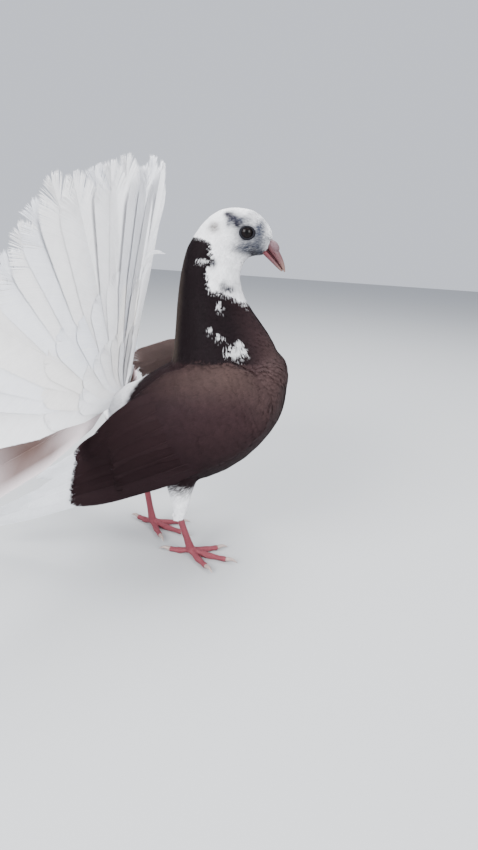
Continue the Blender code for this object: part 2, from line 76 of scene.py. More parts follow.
# %% Floor, sky and lamps
bpy.ops.mesh.primitive_plane_add(size=6.0, location=(0, 0, 0))
floor = bpy.context.object
floor.name = "floor"
floor_paint = bpy.data.materials.new("pale_floor")
floor_paint.use_nodes = True
floor_shader = floor_paint.node_tree.nodes["Principled BSDF"]
floor_shader.inputs["Base Color"].default_value = (0.43, 0.44, 0.45, 1)
floor_shader.inputs["Roughness"].default_value = 0.8
floor.data.materials.append(floor_paint)

sky = bpy.data.worlds.new("studio")
sky.use_nodes = True
sky_light = sky.node_tree.nodes["Background"]
sky_light.inputs["Color"].default_value = (0.86, 0.90, 1.0, 1)
sky_light.inputs["Strength"].default_value = 0.95
bpy.context.scene.world = sky
for name, place, aim, size, power in (
        ("overhead", (0.25, 0.35, 1.30), (0, 0, 0.12), 0.9, 30.0),
        ("beside_camera", (-0.55, -0.90, 0.75), (0, 0, 0.14), 0.7, 34.0),
        ("ahead_of_bird", (1.10, -0.75, 0.70), (0, 0, 0.16), 0.7, 24.0)):
    bpy.ops.object.light_add(type="AREA", location=place)
    lamp = bpy.context.object
    lamp.name = name
    lamp.data.size = size
    lamp.data.energy = power
    lamp.rotation_euler = (Vector(aim) - Vector(place)).to_track_quat("-Z", "Y").to_euler()
    print("lamp", name, power, "W")

# %% [markdown]
# ## Shader arithmetic
# A material is easier to read as a sum than as a picture of boxes. `Flow` wraps the output of a
# shader node, so that an ordinary Python expression adds the Math nodes, and `node` makes any other.

# %% Shader helper
class Flow:
    """The output of a shader node, which can stand in a Python expression."""

    def __init__(self, tree, socket):
        self.tree, self.socket = tree, socket

    def maths(self, operation, first, second):
        return node(self.tree, "ShaderNodeMath", {"operation": operation}, 0, _0=first, _1=second)

    def __add__(self, other):
        return self.maths("ADD", self, other)

    __radd__ = __add__

    def __sub__(self, other):
        return self.maths("SUBTRACT", self, other)

    def __rsub__(self, other):
        return self.maths("SUBTRACT", other, self)

    def __mul__(self, other):
        return self.maths("MULTIPLY", self, other)

    __rmul__ = __mul__


def node(tree, kind, settings=None, output=0, **values):
    """Makes a node, sets it up, then fills or links its inputs.

    _3 is the fourth input, and Base_Color the one with that name.
    """
    made = tree.nodes.new(kind)
    for key, value in (settings or {}).items():
        setattr(made, key, value)
    for key, value in values.items():
        number = key[1:]
        entry = made.inputs[int(number) if number.isdigit() else key.replace("_", " ")]
        if isinstance(value, Flow):
            tree.links.new(value.socket, entry)
        else:
            entry.default_value = value
    return Flow(tree, made.outputs[output])


def new_finish(name, **constants):
    """A material, its tree and its shader, with the numbers that are the same all over already set."""
    material = bpy.data.materials.new(name)
    material.use_nodes = True
    shader = material.node_tree.nodes["Principled BSDF"]
    for key, value in constants.items():
        shader.inputs[key.replace("_", " ")].default_value = value
    return material, material.node_tree, shader


def connect(shader, **flows):
    for key, flow in flows.items():
        flow.tree.links.new(flow.socket, shader.inputs[key.replace("_", " ")])


def object_place(tree):
    return node(tree, "ShaderNodeTexCoord", output=3)


def carried_tint(tree):
    """The colour that the mesh carries at each point."""
    return node(tree, "ShaderNodeAttribute", {"attribute_name": "tint"})


def shaded(tree, tint, shade):
    """The tint made lighter or darker by a shade of about 1."""
    grey = node(tree, "ShaderNodeCombineColor", Red=shade, Green=shade, Blue=shade)
    multiply = {"data_type": "RGBA", "blend_type": "MULTIPLY"}
    return node(tree, "ShaderNodeMix", multiply, 2, _0=1.0, _6=tint, _7=grey)


def bump(tree, height, distance):
    return node(tree, "ShaderNodeBump", Height=height, Distance=distance, Strength=1.0)


# %% [markdown]
# ## Feather finishes
# The colour of a feather is decided where it grows, so each vertex carries a `tint`, and the
# material only adds the fine mottling and the faint ribbing that barbs give. Brown and white
# feathers share a finish, and the long feathers have a smoother one than the small.

# %% Feather material
def feather_finish(name, mottle, ribbing):
    material, tree, shader = new_finish(name, Specular_IOR_Level=0.06)
    place, tint = object_place(tree), carried_tint(tree)
    cloud = node(tree, "ShaderNodeTexNoise", Vector=place, Scale=160.0, Detail=4.0, Roughness=0.6)
    grain = node(tree, "ShaderNodeTexNoise", Vector=place, Scale=1400.0, Detail=2.0)
    shade = (cloud - 0.5) * mottle + (grain - 0.5) * (mottle * 0.8) + 1.0
    connect(shader, Base_Color=shaded(tree, tint, shade), Roughness=cloud * 0.25 + 0.50,
            Normal=bump(tree, grain, ribbing))
    return material


plumage_finish = feather_finish("plumage", 0.42, 0.00012)
vane_finish = feather_finish("long_feathers", 0.16, 0.00005)
print("finishes:", plumage_finish.name, vane_finish.name)

# %% [markdown]
# ## Shape of the body
# The same measured sections that made the solids make the skin, a little smaller all round, so
# that the feathers end where the solids do. A section is a circle stretched to its size, and the
# sections of one form are bridged like hoops under canvas.

# %% Measured sections
# Along the torso: x, top, bottom, half width
TORSO = [
    (0.0282, 0.1200, 0.1160, 0.0020), (0.0262, 0.1370, 0.1020, 0.0240), (0.0175, 0.1450, 0.0860, 0.0350),
    (0.0040, 0.1460, 0.0705, 0.0410), (-0.0150, 0.1440, 0.0575, 0.0440), (-0.0330, 0.1390, 0.0528, 0.0435),
    (-0.0500, 0.1300, 0.0550, 0.0385), (-0.0660, 0.1190, 0.0640, 0.0300), (-0.0800, 0.1120, 0.0770, 0.0200),
    (-0.0900, 0.1060, 0.0900, 0.0090),
]
# Up the neck and over the head: x and z at the back, x and z in front, half width
NECK = [
    (-0.0430, 0.1020, 0.0150, 0.1000, 0.0290), (-0.0453, 0.1180, 0.0250, 0.1150, 0.0350),
    (-0.0452, 0.1300, 0.0252, 0.1290, 0.0335), (-0.0446, 0.1420, 0.0226, 0.1415, 0.0300),
    (-0.0441, 0.1540, 0.0155, 0.1535, 0.0258), (-0.0437, 0.1650, 0.0068, 0.1640, 0.0218),
    (-0.0430, 0.1760, 0.0000, 0.1735, 0.0186), (-0.0418, 0.1870, -0.0036, 0.1830, 0.0166),
    (-0.0392, 0.1985, -0.0042, 0.1895, 0.0152), (-0.0340, 0.2085, -0.0032, 0.1938, 0.0141),
    (-0.0265, 0.2185, -0.0015, 0.1968, 0.0135), (-0.0175, 0.2243, 0.0010, 0.1983, 0.0131),
    (-0.0080, 0.2256, 0.0040, 0.1990, 0.0123), (0.0010, 0.2244, 0.0066, 0.1992, 0.0107),
    (0.0068, 0.2206, 0.0086, 0.1996, 0.0088), (0.0110, 0.2158, 0.0098, 0.2004, 0.0070),
    (0.0132, 0.2115, 0.0106, 0.2018, 0.0054),
]
LEGS = {
    "right": {"hock": (-0.0327, -0.0200, 0.0310), "joint": (-0.0269, -0.0120, 0.0050),
              "thigh": (-0.0330, -0.0215), "heading_deg": -8.0},
    "left": {"hock": (-0.0690, 0.0200, 0.0325), "joint": (-0.0640, 0.0204, 0.0050),
             "thigh": (-0.0560, 0.0215), "heading_deg": -18.0},
}
# Up the thigh: share of its length, radius
THIGH_GIRTH = [(0.0, 0.0036), (0.12, 0.0050), (0.32, 0.0068), (0.5, 0.0090), (0.7, 0.0118), (1.0, 0.0140)]
COAT_DEPTH, THIGH_COAT_DEPTH, LEAST_HALF = 0.0013, 0.0009, 0.0012
HEAD_BASE, HEAD_COAT_SHARE = 0.195, 0.55  # above this height the coat is thinner
THIGH_OVAL = 1.12  # a thigh is this much longer than wide
print("sections:", len(TORSO), "along the torso,", len(NECK), "up the neck")


def smooth_rows(stations, count):
    """Rows of a Catmull-Rom curve through the stations, closer together near both ends."""
    table = np.array(stations)
    last = len(table) - 1
    t = last * (0.5 - 0.5 * np.cos(math.pi * np.arange(count) / (count - 1)))
    k = np.minimum(t.astype(int), last - 1)
    f = (t - k)[:, None]
    a, b = table[np.maximum(k - 1, 0)], table[k]
    c, d = table[k + 1], table[np.minimum(k + 2, last)]
    last_term = (3 * b - a - 3 * c + d) * f ** 3
    return 0.5 * (2 * b + (c - a) * f + (2 * a - 5 * b + 4 * c - d) * f ** 2 + last_term)


# %% Hoops and bridging
def only(*objects):
    """Selects these objects and nothing else, the first being active."""
    bpy.ops.object.select_all(action="DESELECT")
    for obj in objects:
        obj.select_set(True)
    bpy.context.view_layer.objects.active = objects[0]


def settle():
    """Puts the active object's place, turn and size into its mesh."""
    bpy.ops.object.transform_apply(location=True, rotation=True, scale=True)


def in_edit_mode(obj, *steps):
    """Runs edit-mode steps one after another, each with the whole mesh selected."""
    only(obj)
    bpy.ops.object.mode_set(mode="EDIT")
    for run in steps:
        bpy.ops.mesh.select_all(action="SELECT")
        run()
    bpy.ops.object.mode_set(mode="OBJECT")


def fill_ends():
    bpy.ops.mesh.fill_holes(sides=0)


def face_outwards():
    bpy.ops.mesh.normals_make_consistent(inside=False)


def points_of(obj):
    return np.array([v.co[:] for v in obj.data.vertices])


def move_points(obj, places):
    obj.data.vertices.foreach_set("co", places.ravel())
    obj.data.update()


def hoop(centre, reach, half, sides=32):
    """A circle stretched to reach along one line of the side view and half across."""
    bpy.ops.mesh.primitive_circle_add(vertices=sides, radius=1.0, location=centre,
                                      rotation=(0, math.atan2(-reach[2], reach[0]), 0))
    ring = bpy.context.object
    ring.scale = (math.hypot(reach[0], reach[2]), half, 1.0)
    return ring


def bridge_hoops(name, hoops):
    only(*hoops)
    bpy.ops.object.join()
    form = bpy.context.object
    form.name = name
    settle()
    in_edit_mode(form, bpy.ops.mesh.bridge_edge_loops, fill_ends, face_outwards)
    return form


def applied(obj, kind, **settings):
    """Adds a modifier and applies it at once."""
    only(obj)
    modifier = obj.modifiers.new(kind.lower(), kind)
    for key, value in settings.items():
        setattr(modifier, key, value)
    bpy.ops.object.modifier_apply(modifier=modifier.name)
    return obj


# %% Torso, neck and thighs
def torso_form():
    hoops = []
    for x, top, bottom, half in smooth_rows(TORSO, 22):
        high = max(LEAST_HALF, (top - bottom) / 2 - COAT_DEPTH)
        centre = (x + AHEAD, 0, (top + bottom) / 2)
        hoops.append(hoop(centre, (0, 0, high), max(LEAST_HALF, half - COAT_DEPTH)))
    return bridge_hoops("torso_form", hoops)


def neck_form():
    hoops = []
    for back_x, back_z, front_x, front_z, half in smooth_rows(NECK, 40):
        back, front = Vector((back_x, 0, back_z)), Vector((front_x, 0, front_z))
        thin = COAT_DEPTH if back_z < HEAD_BASE else COAT_DEPTH * HEAD_COAT_SHARE
        reach = (front - back) / 2
        reach = reach.normalized() * (reach.length - thin)
        centre = (back + front) / 2 + Vector((AHEAD, 0, 0))
        hoops.append(hoop(centre, reach, half - thin))
    return bridge_hoops("neck_form", hoops)


def thigh_form(leg):
    hoops = []
    hock, top = Vector(leg["hock"]), Vector((*leg["thigh"], 0.0800))
    for share, radius in THIGH_GIRTH:
        centre = hock.lerp(top, share) + Vector((AHEAD, 0, 0.0006))
        bare = radius - THIGH_COAT_DEPTH
        hoops.append(hoop(centre, (bare * THIGH_OVAL, 0, 0), bare, 20))
    return bridge_hoops("thigh_form", hoops)


# %% [markdown]
# ## The folded wing's surface
# A folded wing lies along the flank like a shield. Its feathers are placed in wing terms, a
# distance along it from the wrist, a distance across it and a height above it, and one function
# turns those into a place beside the body.

# %% Wing surface
WING_WRIST = (0.0260, 0.1260)
WING_SLOPE_DEG = 28.6
WING_AXIS = np.array((-math.cos(math.radians(WING_SLOPE_DEG)), -math.sin(math.radians(WING_SLOPE_DEG))))
WING_UP = np.array((WING_AXIS[1], -WING_AXIS[0]))
# Both edges of the wing: distance along, distance across
WING_LOWER = [(0.0045, -0.006), (0.008, -0.0130), (0.014, -0.0195), (0.034, -0.0275), (0.068, -0.0300),
              (0.100, -0.0240), (0.135, -0.0170)]
WING_UPPER = [(0.0045, 0.009), (0.009, 0.0190), (0.016, 0.0270), (0.032, 0.0350), (0.058, 0.0390),
              (0.080, 0.0340), (0.107, 0.0235), (0.135, 0.0130)]
# How far the wing stands out from the bird's middle, and how much it curves: distance along, value
WING_OUT = [(0.0, 0.0270), (0.006, 0.0355), (0.020, 0.0440), (0.050, 0.0490), (0.080, 0.0485),
            (0.110, 0.0455), (0.150, 0.0425), (0.225, 0.0390)]
WING_CURVE = [(0.0, 13.0), (0.060, 13.0), (0.110, 8.0), (0.150, 4.0), (0.225, 2.0)]
WING_OFF_BODY, WING_MELT = 0.0022, 0.002  # least distance from the body, and how softly it is kept


def read(table, x):
    return np.interp(x, [row[0] for row in table], [row[1] for row in table])


def torso_half_width(x, z):
    """How far the torso reaches sideways at places in the side view, 0 outside it."""
    rows = sorted(TORSO)
    xs = [row[0] for row in rows]
    top, bottom, half = (np.interp(x, xs, [row[k] for row in rows]) for k in (1, 2, 3))
    share = (z - (top + bottom) / 2) / ((top - bottom) / 2)
    inside = (x >= xs[0]) & (x <= xs[-1])
    return np.where(inside, half * np.sqrt(np.maximum(0.0, 1.0 - share ** 2)), 0.0)


def wing_place(along, across, height, side):
    """Places on the wing as an array of points in the row frame."""
    along, across, height = np.broadcast_arrays(along, across, height)
    x = WING_WRIST[0] + WING_AXIS[0] * along + WING_UP[0] * across
    z = WING_WRIST[1] + WING_AXIS[1] * along + WING_UP[1] * across
    free = read(WING_OUT, along) - read(WING_CURVE, along) * across ** 2
    body = torso_half_width(x, z) + WING_OFF_BODY
    out = 0.5 * (free + body + np.sqrt((free - body) ** 2 + WING_MELT ** 2))
    return np.stack((x + AHEAD, side * (out + height), z), axis=-1)


def wing_form(side):
    """The muscle and skin under the wing feathers, as a shell shaped from a grid."""
    bpy.ops.mesh.primitive_grid_add(x_subdivisions=36, y_subdivisions=22, size=2.0, location=(0, 0, 0))
    form = bpy.context.object
    flat = points_of(form)
    along = 0.008 + 0.108 * (0.5 + 0.5 * flat[:, 0])
    low, high = read(WING_LOWER, along) + 0.002, read(WING_UPPER, along) - 0.002
    across = (low + high) / 2 + (high - low) / 2 * flat[:, 1]
    rim = np.maximum(np.abs(flat[:, 1]), np.abs(flat[:, 0])) ** 5
    move_points(form, wing_place(along, across, -0.0012 - 0.0022 * rim, side))
    applied(form, "SOLIDIFY", thickness=0.0060, offset=-side * 1.0)
    in_edit_mode(form, face_outwards)
    return form


# %% [markdown]
# ## One skin
# The forms overlap, so a voxel remesh turns them into a single closed surface, and smoothing
# melts the folds between them, as flesh and down do. The skin stands for the flesh nodes.

# %% Skin
SKIN_VOXEL, SKIN_SMOOTHING = 0.0013, 12


def unwrap():
    bpy.ops.uv.smart_project(angle_limit=math.radians(66), island_margin=0.003)


forms = [torso_form(), neck_form()]
forms += [thigh_form(leg) for leg in LEGS.values()]
forms += [wing_form(-1), wing_form(1)]
only(*forms)
bpy.ops.object.join()
skin = bpy.context.object
skin.name = "skin"
applied(skin, "REMESH", mode="VOXEL", voxel_size=SKIN_VOXEL, use_smooth_shade=True)
applied(skin, "SMOOTH", factor=0.5, iterations=SKIN_SMOOTHING)
in_edit_mode(skin, unwrap)
skin.data.uv_layers[0].name = "OFBake"
print("skin:", len(skin.data.polygons), "faces")
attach(skin, "root")
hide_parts("torso", "neck", "head", "thigh_left", "thigh_right")

# %% [markdown]
# ## Markings
# The bird is a dark brown fantail with a white face and bib, slate mottling round the eye, and
# white flecks scattered down its neck. Each marking is a soft spot with a centre and a size in the
# side view, and the border between brown and white is a line read off the neck. A fleck is made of
# whole white feathers, so each feather draws a number and is white where the fleck is stronger.

# %% Palette
def paint(red, green, blue):
    """A colour from the screen's 0 to 255 scale to the linear light that a shader wants."""
    share = np.array((red, green, blue)) / 255.0
    return np.where(share <= 0.04045, share / 12.92, ((share + 0.055) / 1.055) ** 2.4)


WHITE = paint(248, 248, 250)
SLATE = paint(54, 57, 68)
INK = paint(32, 31, 40)
# Brown darkened by painted shade, for the lower and rear body and the lower wing feathers
BROWN_SHADED = paint(28, 17, 20)
BROWN = paint(42, 29, 31)
# Lighter brown for the tops of the shoulders and wings: painted light from above
BROWN_LIT_TOP = paint(64, 51, 47)
BROWN_BREAST = paint(62, 48, 47)
# The neck's own dark brown, with its purple sheen painted into the colour
NECK_DARK_WITH_SHEEN = paint(16, 9, 12)
NAPE_OLIVE = paint(66, 57, 51)
TAN = paint(150, 129, 123)
FAN_BROWN = paint(104, 84, 79)
FAN_EDGE = paint(226, 214, 216)
# The white primaries greyed: painted shade, with some of their own grey tint
PRIMARY_SHADED_GREY = paint(214, 216, 220)

# Where white gives way to brown behind the face: height, then the x of the border
FACE_BORDER = [(0.1778, -0.0186), (0.1804, -0.0208), (0.1862, -0.0217), (0.1900, -0.0228), (0.1945, -0.0190),
               (0.1994, -0.0206), (0.2055, -0.0212), (0.2070, -0.0290), (0.2085, -0.0480)]
# Where the bib ends below: x, then the height of the border
BIB_BORDER = [(-0.0186, 0.1778), (-0.0134, 0.1769), (-0.0069, 0.1752), (-0.0031, 0.1722), (0.0011, 0.1700),
              (0.0080, 0.1650)]
# Where the neck ends on the shoulder: x, then the height of the fold
NECK_HEM = [(-0.0450, 0.1335), (-0.0301, 0.1356), (-0.0113, 0.1378), (0.0148, 0.1378), (0.0249, 0.1319),
            (0.0300, 0.1260)]
# How far the neck reaches sideways: height, then the half width
NECK_REACH = [(0.130, 0.0345), (0.142, 0.0315), (0.154, 0.0280), (0.165, 0.0250), (0.170, 0.0600)]
# Where the dark of the neck ends in front: height, then x
DARK_FRONT = [(0.14, 0.006), (0.175, -0.010)]
# Slate and ink spots on white: x, z, half length, half height, strength, colour
SPOTS = [
    (-0.0013, 0.2117, 0.0040, 0.0038, 1.10, INK),
    (-0.0003, 0.2113, 0.0074, 0.0064, 0.55, SLATE), (0.0062, 0.2134, 0.0032, 0.0062, 0.95, SLATE),
    (0.0060, 0.2060, 0.0034, 0.0034, 0.80, SLATE), (0.0006, 0.2038, 0.0078, 0.0036, 0.85, SLATE),
    (-0.0051, 0.2024, 0.0040, 0.0018, 0.60, SLATE), (0.0030, 0.2010, 0.0028, 0.0018, 0.95, INK),
    (0.0072, 0.2014, 0.0024, 0.0020, 0.90, SLATE), (-0.0061, 0.2165, 0.0030, 0.0026, 1.10, INK),
    (-0.0088, 0.2183, 0.0034, 0.0028, 0.95, INK), (-0.0116, 0.2162, 0.0014, 0.0026, 0.75, SLATE),
    (-0.0133, 0.2211, 0.0016, 0.0013, 1.00, INK), (-0.0110, 0.2203, 0.0026, 0.0020, 1.00, INK),
    (-0.0025, 0.2188, 0.0042, 0.0018, 0.70, SLATE), (0.0010, 0.2222, 0.0030, 0.0016, 0.45, SLATE),
    (-0.0198, 0.2134, 0.0034, 0.0030, 0.75, NAPE_OLIVE), (-0.0190, 0.1941, 0.0020, 0.0026, 0.95, INK),
    (-0.0128, 0.1811, 0.0018, 0.0028, 0.85, INK), (-0.0094, 0.1792, 0.0026, 0.0020, 1.05, INK),
    (0.0104, 0.2090, 0.0018, 0.0018, 0.60, SLATE),
]
# White flecks on brown: x, z, half length, half height, strength
FLECKS = [
    (-0.0133, 0.1699, 0.0024, 0.0030, 0.80), (-0.0172, 0.1564, 0.0015, 0.0018, 0.90),
    (-0.0120, 0.1536, 0.0017, 0.0020, 1.00), (-0.0085, 0.1524, 0.0010, 0.0016, 0.70),
    (-0.0010, 0.1452, 0.0056, 0.0036, 1.05), (0.0006, 0.1492, 0.0026, 0.0026, 1.10),
    (0.0040, 0.1458, 0.0022, 0.0022, 0.90), (-0.0250, 0.1946, 0.0040, 0.0012, 1.10),
]
print("markings:", len(SPOTS), "spots on white,", len(FLECKS), "flecks on brown")


def step(low, high, value):
    """0 below low, 1 above high, and smooth between."""
    t = np.clip((value - low) / (high - low), 0, 1)
    return t * t * (3 - 2 * t)


def blend(first, second, share):
    return first + (second - first) * np.asarray(share)[..., None]


def spot(x, z, centre_x, centre_z, half_x, half_z):
    return 1.0 / (1.0 + (((x - centre_x) / half_x) ** 2 + ((z - centre_z) / half_z) ** 2) ** 2)


def on_neck_share(points):
    """1 on the neck above the fold where it meets the shoulders, 0 below."""
    rise = points[:, 2] - read(NECK_HEM, points[:, 0] - AHEAD)
    beside = np.abs(points[:, 1]) - read(NECK_REACH, points[:, 2])
    return step(-0.0004, 0.0006, rise) * step(0.0006, -0.0004, beside)


def marking(points, draw):
    """Colour of the plumage at points in the row frame. draw is a number from 0 to 1 for each."""
    x, y, z = points[:, 0] - AHEAD, points[:, 1], points[:, 2]
    far = (y > 0) * 1.0
    wave = 0.0007 * np.sin(2100 * z + 5 * far) + 0.0006 * np.sin(1300 * x + 3 * z * 900)
    # Darker towards the rear and the bottom: painted shade
    colour = blend(BROWN_SHADED, BROWN, step(-0.030, 0.055, x + 0.8 * (z - 0.060)))
    # Lighter on the top of the shoulders and wings: painted light from above
    colour = blend(colour, BROWN_LIT_TOP, 0.75 * step(0.112, 0.140, z) * step(0.020, 0.042, np.abs(y)))
    colour = blend(colour, BROWN_BREAST, 0.8 * step(0.006, 0.024, x) * step(0.098, 0.125, z))
    on_neck = on_neck_share(points)
    # Dark neck with a painted purple sheen, ending towards the front
    colour = blend(colour, NECK_DARK_WITH_SHEEN, on_neck * step(0.014, -0.004, x - read(DARK_FRONT, z)))
    colour = blend(colour, NAPE_OLIVE, on_neck * 0.8 * step(-0.0345, -0.0425, x))
    behind = x < read(FACE_BORDER, z) + wave
    white = np.where(z > 0.1778, ~behind, (z > read(BIB_BORDER, x) + wave) & (x > -0.0186))
    # The white of the face and bib is greyed to 0.86: painted shade
    face = np.repeat(WHITE[None, :] * 0.86, len(x), 0)
    for cx, cz, half_x, half_z, strength, ink in SPOTS:
        drift = far * 0.0012 * math.sin(cx * 9000)
        share = strength * spot(x, z, cx + drift, cz - drift * 0.6, half_x, half_z) * (0.75 + 0.5 * draw)
        face = blend(face, ink, np.clip(share, 0, 1))
    fleck = np.zeros(len(x))
    for cx, cz, half_x, half_z, strength in FLECKS:
        drift = far * 0.0022 * math.sin(cx * 7000)
        fleck = np.maximum(fleck, strength * spot(x, z, cx + drift, cz - drift, half_x, half_z))
    fleck *= np.where(z > 0.12, on_neck, 1.0)
    colour = blend(colour, WHITE * 0.44, ((fleck > 0.30 + 0.75 * draw) & (np.abs(y) > 0.004)) * 1.0)
    colour = blend(colour, face, white * 1.0)
    shank = np.where(far > 0, np.interp(z, [0.0325, 0.08], [-0.0690, -0.0560]), -0.0330)
    muff = step(0.0590, 0.0470, z + 0.006 * (draw - 0.5)) * (np.abs(x - shank) < 0.0105)
    colour = blend(colour, WHITE * 0.92, muff)
    return blend(colour, WHITE, step(-0.060, -0.066, x + 0.3 * np.abs(y)) * (z > 0.092) * (np.abs(y) < 0.031))


def set_tint(mesh, colours):
    layer = mesh.color_attributes.new("tint", "FLOAT_COLOR", "POINT")
    rows = np.column_stack((colours, np.ones(len(colours)))).astype(np.float32)
    layer.data.foreach_set("color", rows.ravel())


skin_points = points_of(skin)
# The skin takes the plumage's colours darkened to 0.85: painted shade where it shows between the feathers
set_tint(skin.data, marking(skin_points, np.full(len(skin_points), 0.5)) * 0.85)
skin.data.materials.clear()
skin.data.materials.append(plumage_finish)

# %% [markdown]
# ## Which way the feathers lie
# Feathers point away from the bill, down the neck, round the breast and back along the body.
# A few arrows in the side view say so, and a place takes the mean of the arrows near it.

# %% Lie of the coat
# Each arrow: x and z of its place, then the way it points in x and z
ARROWS = [
    (0.012, 0.208, -0.80, 0.45), (0.004, 0.223, -1.00, 0.25), (-0.010, 0.224, -1.00, 0.00),
    (-0.027, 0.216, -0.85, -0.50), (-0.036, 0.203, -0.40, -0.90), (0.004, 0.203, -0.90, -0.30),
    (-0.010, 0.205, -0.75, -0.65), (-0.004, 0.190, -0.30, -0.95), (-0.020, 0.185, -0.10, -1.00),
    (-0.001, 0.175, 0.20, -1.00), (-0.020, 0.155, 0.02, -1.00), (0.008, 0.160, 0.50, -0.90),
    (-0.043, 0.160, -0.10, -1.00), (-0.044, 0.130, -0.35, -0.95), (0.022, 0.140, 0.15, -1.00),
    (0.027, 0.118, -0.15, -1.00), (0.022, 0.098, -0.55, -0.85), (0.010, 0.078, -0.85, -0.50),
    (-0.010, 0.060, -1.00, -0.20), (-0.035, 0.053, -1.00, 0.00), (-0.062, 0.060, -0.90, 0.35),
    (-0.085, 0.085, -0.80, 0.55), (-0.055, 0.122, -0.90, -0.42), (-0.080, 0.108, -0.95, -0.20),
    (-0.010, 0.110, -0.90, -0.45), (-0.040, 0.090, -0.92, -0.40), (-0.030, 0.045, 0.00, -1.00),
    (-0.068, 0.045, 0.00, -1.00),
]
LIE_REACH = 0.011  # how far an arrow is felt
print("arrows:", len(ARROWS))


def unit(rows):
    """The rows at length 1."""
    return rows / np.linalg.norm(rows, axis=-1, keepdims=True)


def lie(points):
    """Unit directions in the side view, before they are laid on the surface."""
    arrows = np.array(ARROWS)
    gap = (points[:, 0, None] - AHEAD - arrows[:, 0]) ** 2 + (points[:, 2, None] - arrows[:, 1]) ** 2
    weight = np.exp(-gap / (2 * LIE_REACH ** 2)) + 1e-9
    way = np.stack(((weight * arrows[:, 2]).sum(1), np.zeros(len(points)), (weight * arrows[:, 3]).sum(1)), 1)
    on_wing = wing_share(points)[:, None]
    return unit(way) * (1 - on_wing) + np.array((WING_AXIS[0], 0, WING_AXIS[1])) * on_wing


def wing_terms(points):
    """How far along and across the folded wing points lie in the side view."""
    dx, dz = points[:, 0] - AHEAD - WING_WRIST[0], points[:, 2] - WING_WRIST[1]
    return dx * WING_AXIS[0] + dz * WING_AXIS[1], dx * WING_UP[0] + dz * WING_UP[1]


def wing_share(points):
    """1 on the folded wing, 0 off it."""
    along, across = wing_terms(points)
    inside = (across > read(WING_LOWER, along)) & (across < read(WING_UPPER, along)) & (along > 0.004)
    return (inside & (along < 0.125) & (np.abs(points[:, 1]) > 0.027)) * 1.0


# %% Sowing the roots
skin_tree = BVHTree.FromPolygons(skin_points.tolist(), [tuple(f.vertices) for f in skin.data.polygons])
EYE_CENTRE = (-0.0013 + AHEAD, 0.0084, 0.2117)
BILL_ROOT = (0.0085 + AHEAD, 0.0, 0.2062)
# Distance between the roots of neighbouring feathers: height, then the gap
ROOT_GAPS = [(0.050, 0.0021), (0.100, 0.0023), (0.135, 0.0018), (0.180, 0.0014), (0.197, 0.0011),
             (0.206, 0.00090)]
THIGH_TOP, THIGH_GAP = 0.052, 0.0015
FEATHER_LENGTH, FEATHER_HALF_WIDTH = 4.2, 1.15  # in gaps
EYE_GAP_BEHIND, EYE_GAP_AHEAD, EYE_GAP_TIPS, BILL_GAP = 0.0036, 0.0043, 0.0039, 0.0050
TAIL_HIDES = -0.084  # behind this x no body feather shows
FLIGHT_HIDES = 0.072  # past this distance along the wing the long feathers lie over the coat
HOCK_TOP = 0.0345


def spacing(points):
    """Distance between the roots of neighbouring feathers."""
    gap = read(ROOT_GAPS, points[:, 2])
    gap = gap + 0.0004 * wing_share(points) * step(0.0, -0.02, points[:, 0] - AHEAD)
    return np.where(points[:, 2] < THIGH_TOP, THIGH_GAP, gap)


def sow(seed):
    """Even, staggered roots over the skin: their places, face normals and places on its unwrap."""
    mesh = skin.data
    mesh.calc_loop_triangles()
    corners = np.array([t.vertices[:] for t in mesh.loop_triangles])
    loops = np.array([t.loops[:] for t in mesh.loop_triangles])
    uv = np.empty(len(mesh.loops) * 2)
    mesh.uv_layers["OFBake"].data.foreach_get("uv", uv)
    uv = uv.reshape(-1, 2)[loops]
    tri = skin_points[corners]
    normal = np.cross(tri[:, 1] - tri[:, 0], tri[:, 2] - tri[:, 0])
    area = np.linalg.norm(normal, axis=1) / 2
    normal /= 2 * area[:, None] + 1e-20
    rng = np.random.default_rng(seed)
    weight = area / spacing(tri.mean(1)) ** 2
    count = int(weight.sum() * 5.0)
    chosen = rng.choice(len(area), count, p=weight / weight.sum())
    a, b = rng.random(count), rng.random(count)
    flip = a + b > 1
    a[flip], b[flip] = 1 - a[flip], 1 - b[flip]
    share = np.stack((1 - a - b, a, b), 1)[:, :, None]
    places = (tri[chosen] * share).sum(1)
    gaps = spacing(places)
    tree = kdtree.KDTree(count)
    for i, place in enumerate(places):
        tree.insert(place, i)
    tree.balance()
    free = np.ones(count, bool)
    kept = []
    for i in range(count):
        if free[i]:
            kept.append(i)
            for _, j, _ in tree.find_range(places[i], gaps[i]):
                free[j] = False
    kept = np.array(kept)
    return places[kept], normal[chosen[kept]], (uv[chosen[kept]] * share[kept]).sum(1)


def from_eye(places):
    """Distance from the middle of the eye in the side view."""
    return np.hypot(places[:, 0] - EYE_CENTRE[0], places[:, 2] - EYE_CENTRE[2])


roots, root_normals, root_uvs = sow(7)
clear_of_eye = from_eye(roots) > np.where(roots[:, 0] < EYE_CENTRE[0], EYE_GAP_BEHIND, EYE_GAP_AHEAD)
tips = roots + lie(roots) * (spacing(roots) * FEATHER_LENGTH)[:, None]
clear_of_eye &= from_eye(tips) > EYE_GAP_TIPS
clear_of_bill = np.linalg.norm(roots - np.array(BILL_ROOT), axis=1) > BILL_GAP
inside_tail = roots[:, 0] - AHEAD < TAIL_HIDES
under_flight = (wing_share(roots) > 0) & (wing_terms(roots)[0] > FLIGHT_HIDES)
above_hock = roots[:, 2] > HOCK_TOP
keep = clear_of_eye & clear_of_bill & ~inside_tail & ~under_flight & above_hock
roots, root_normals, root_uvs = roots[keep], root_normals[keep], root_uvs[keep]
print("body feathers:", len(roots))

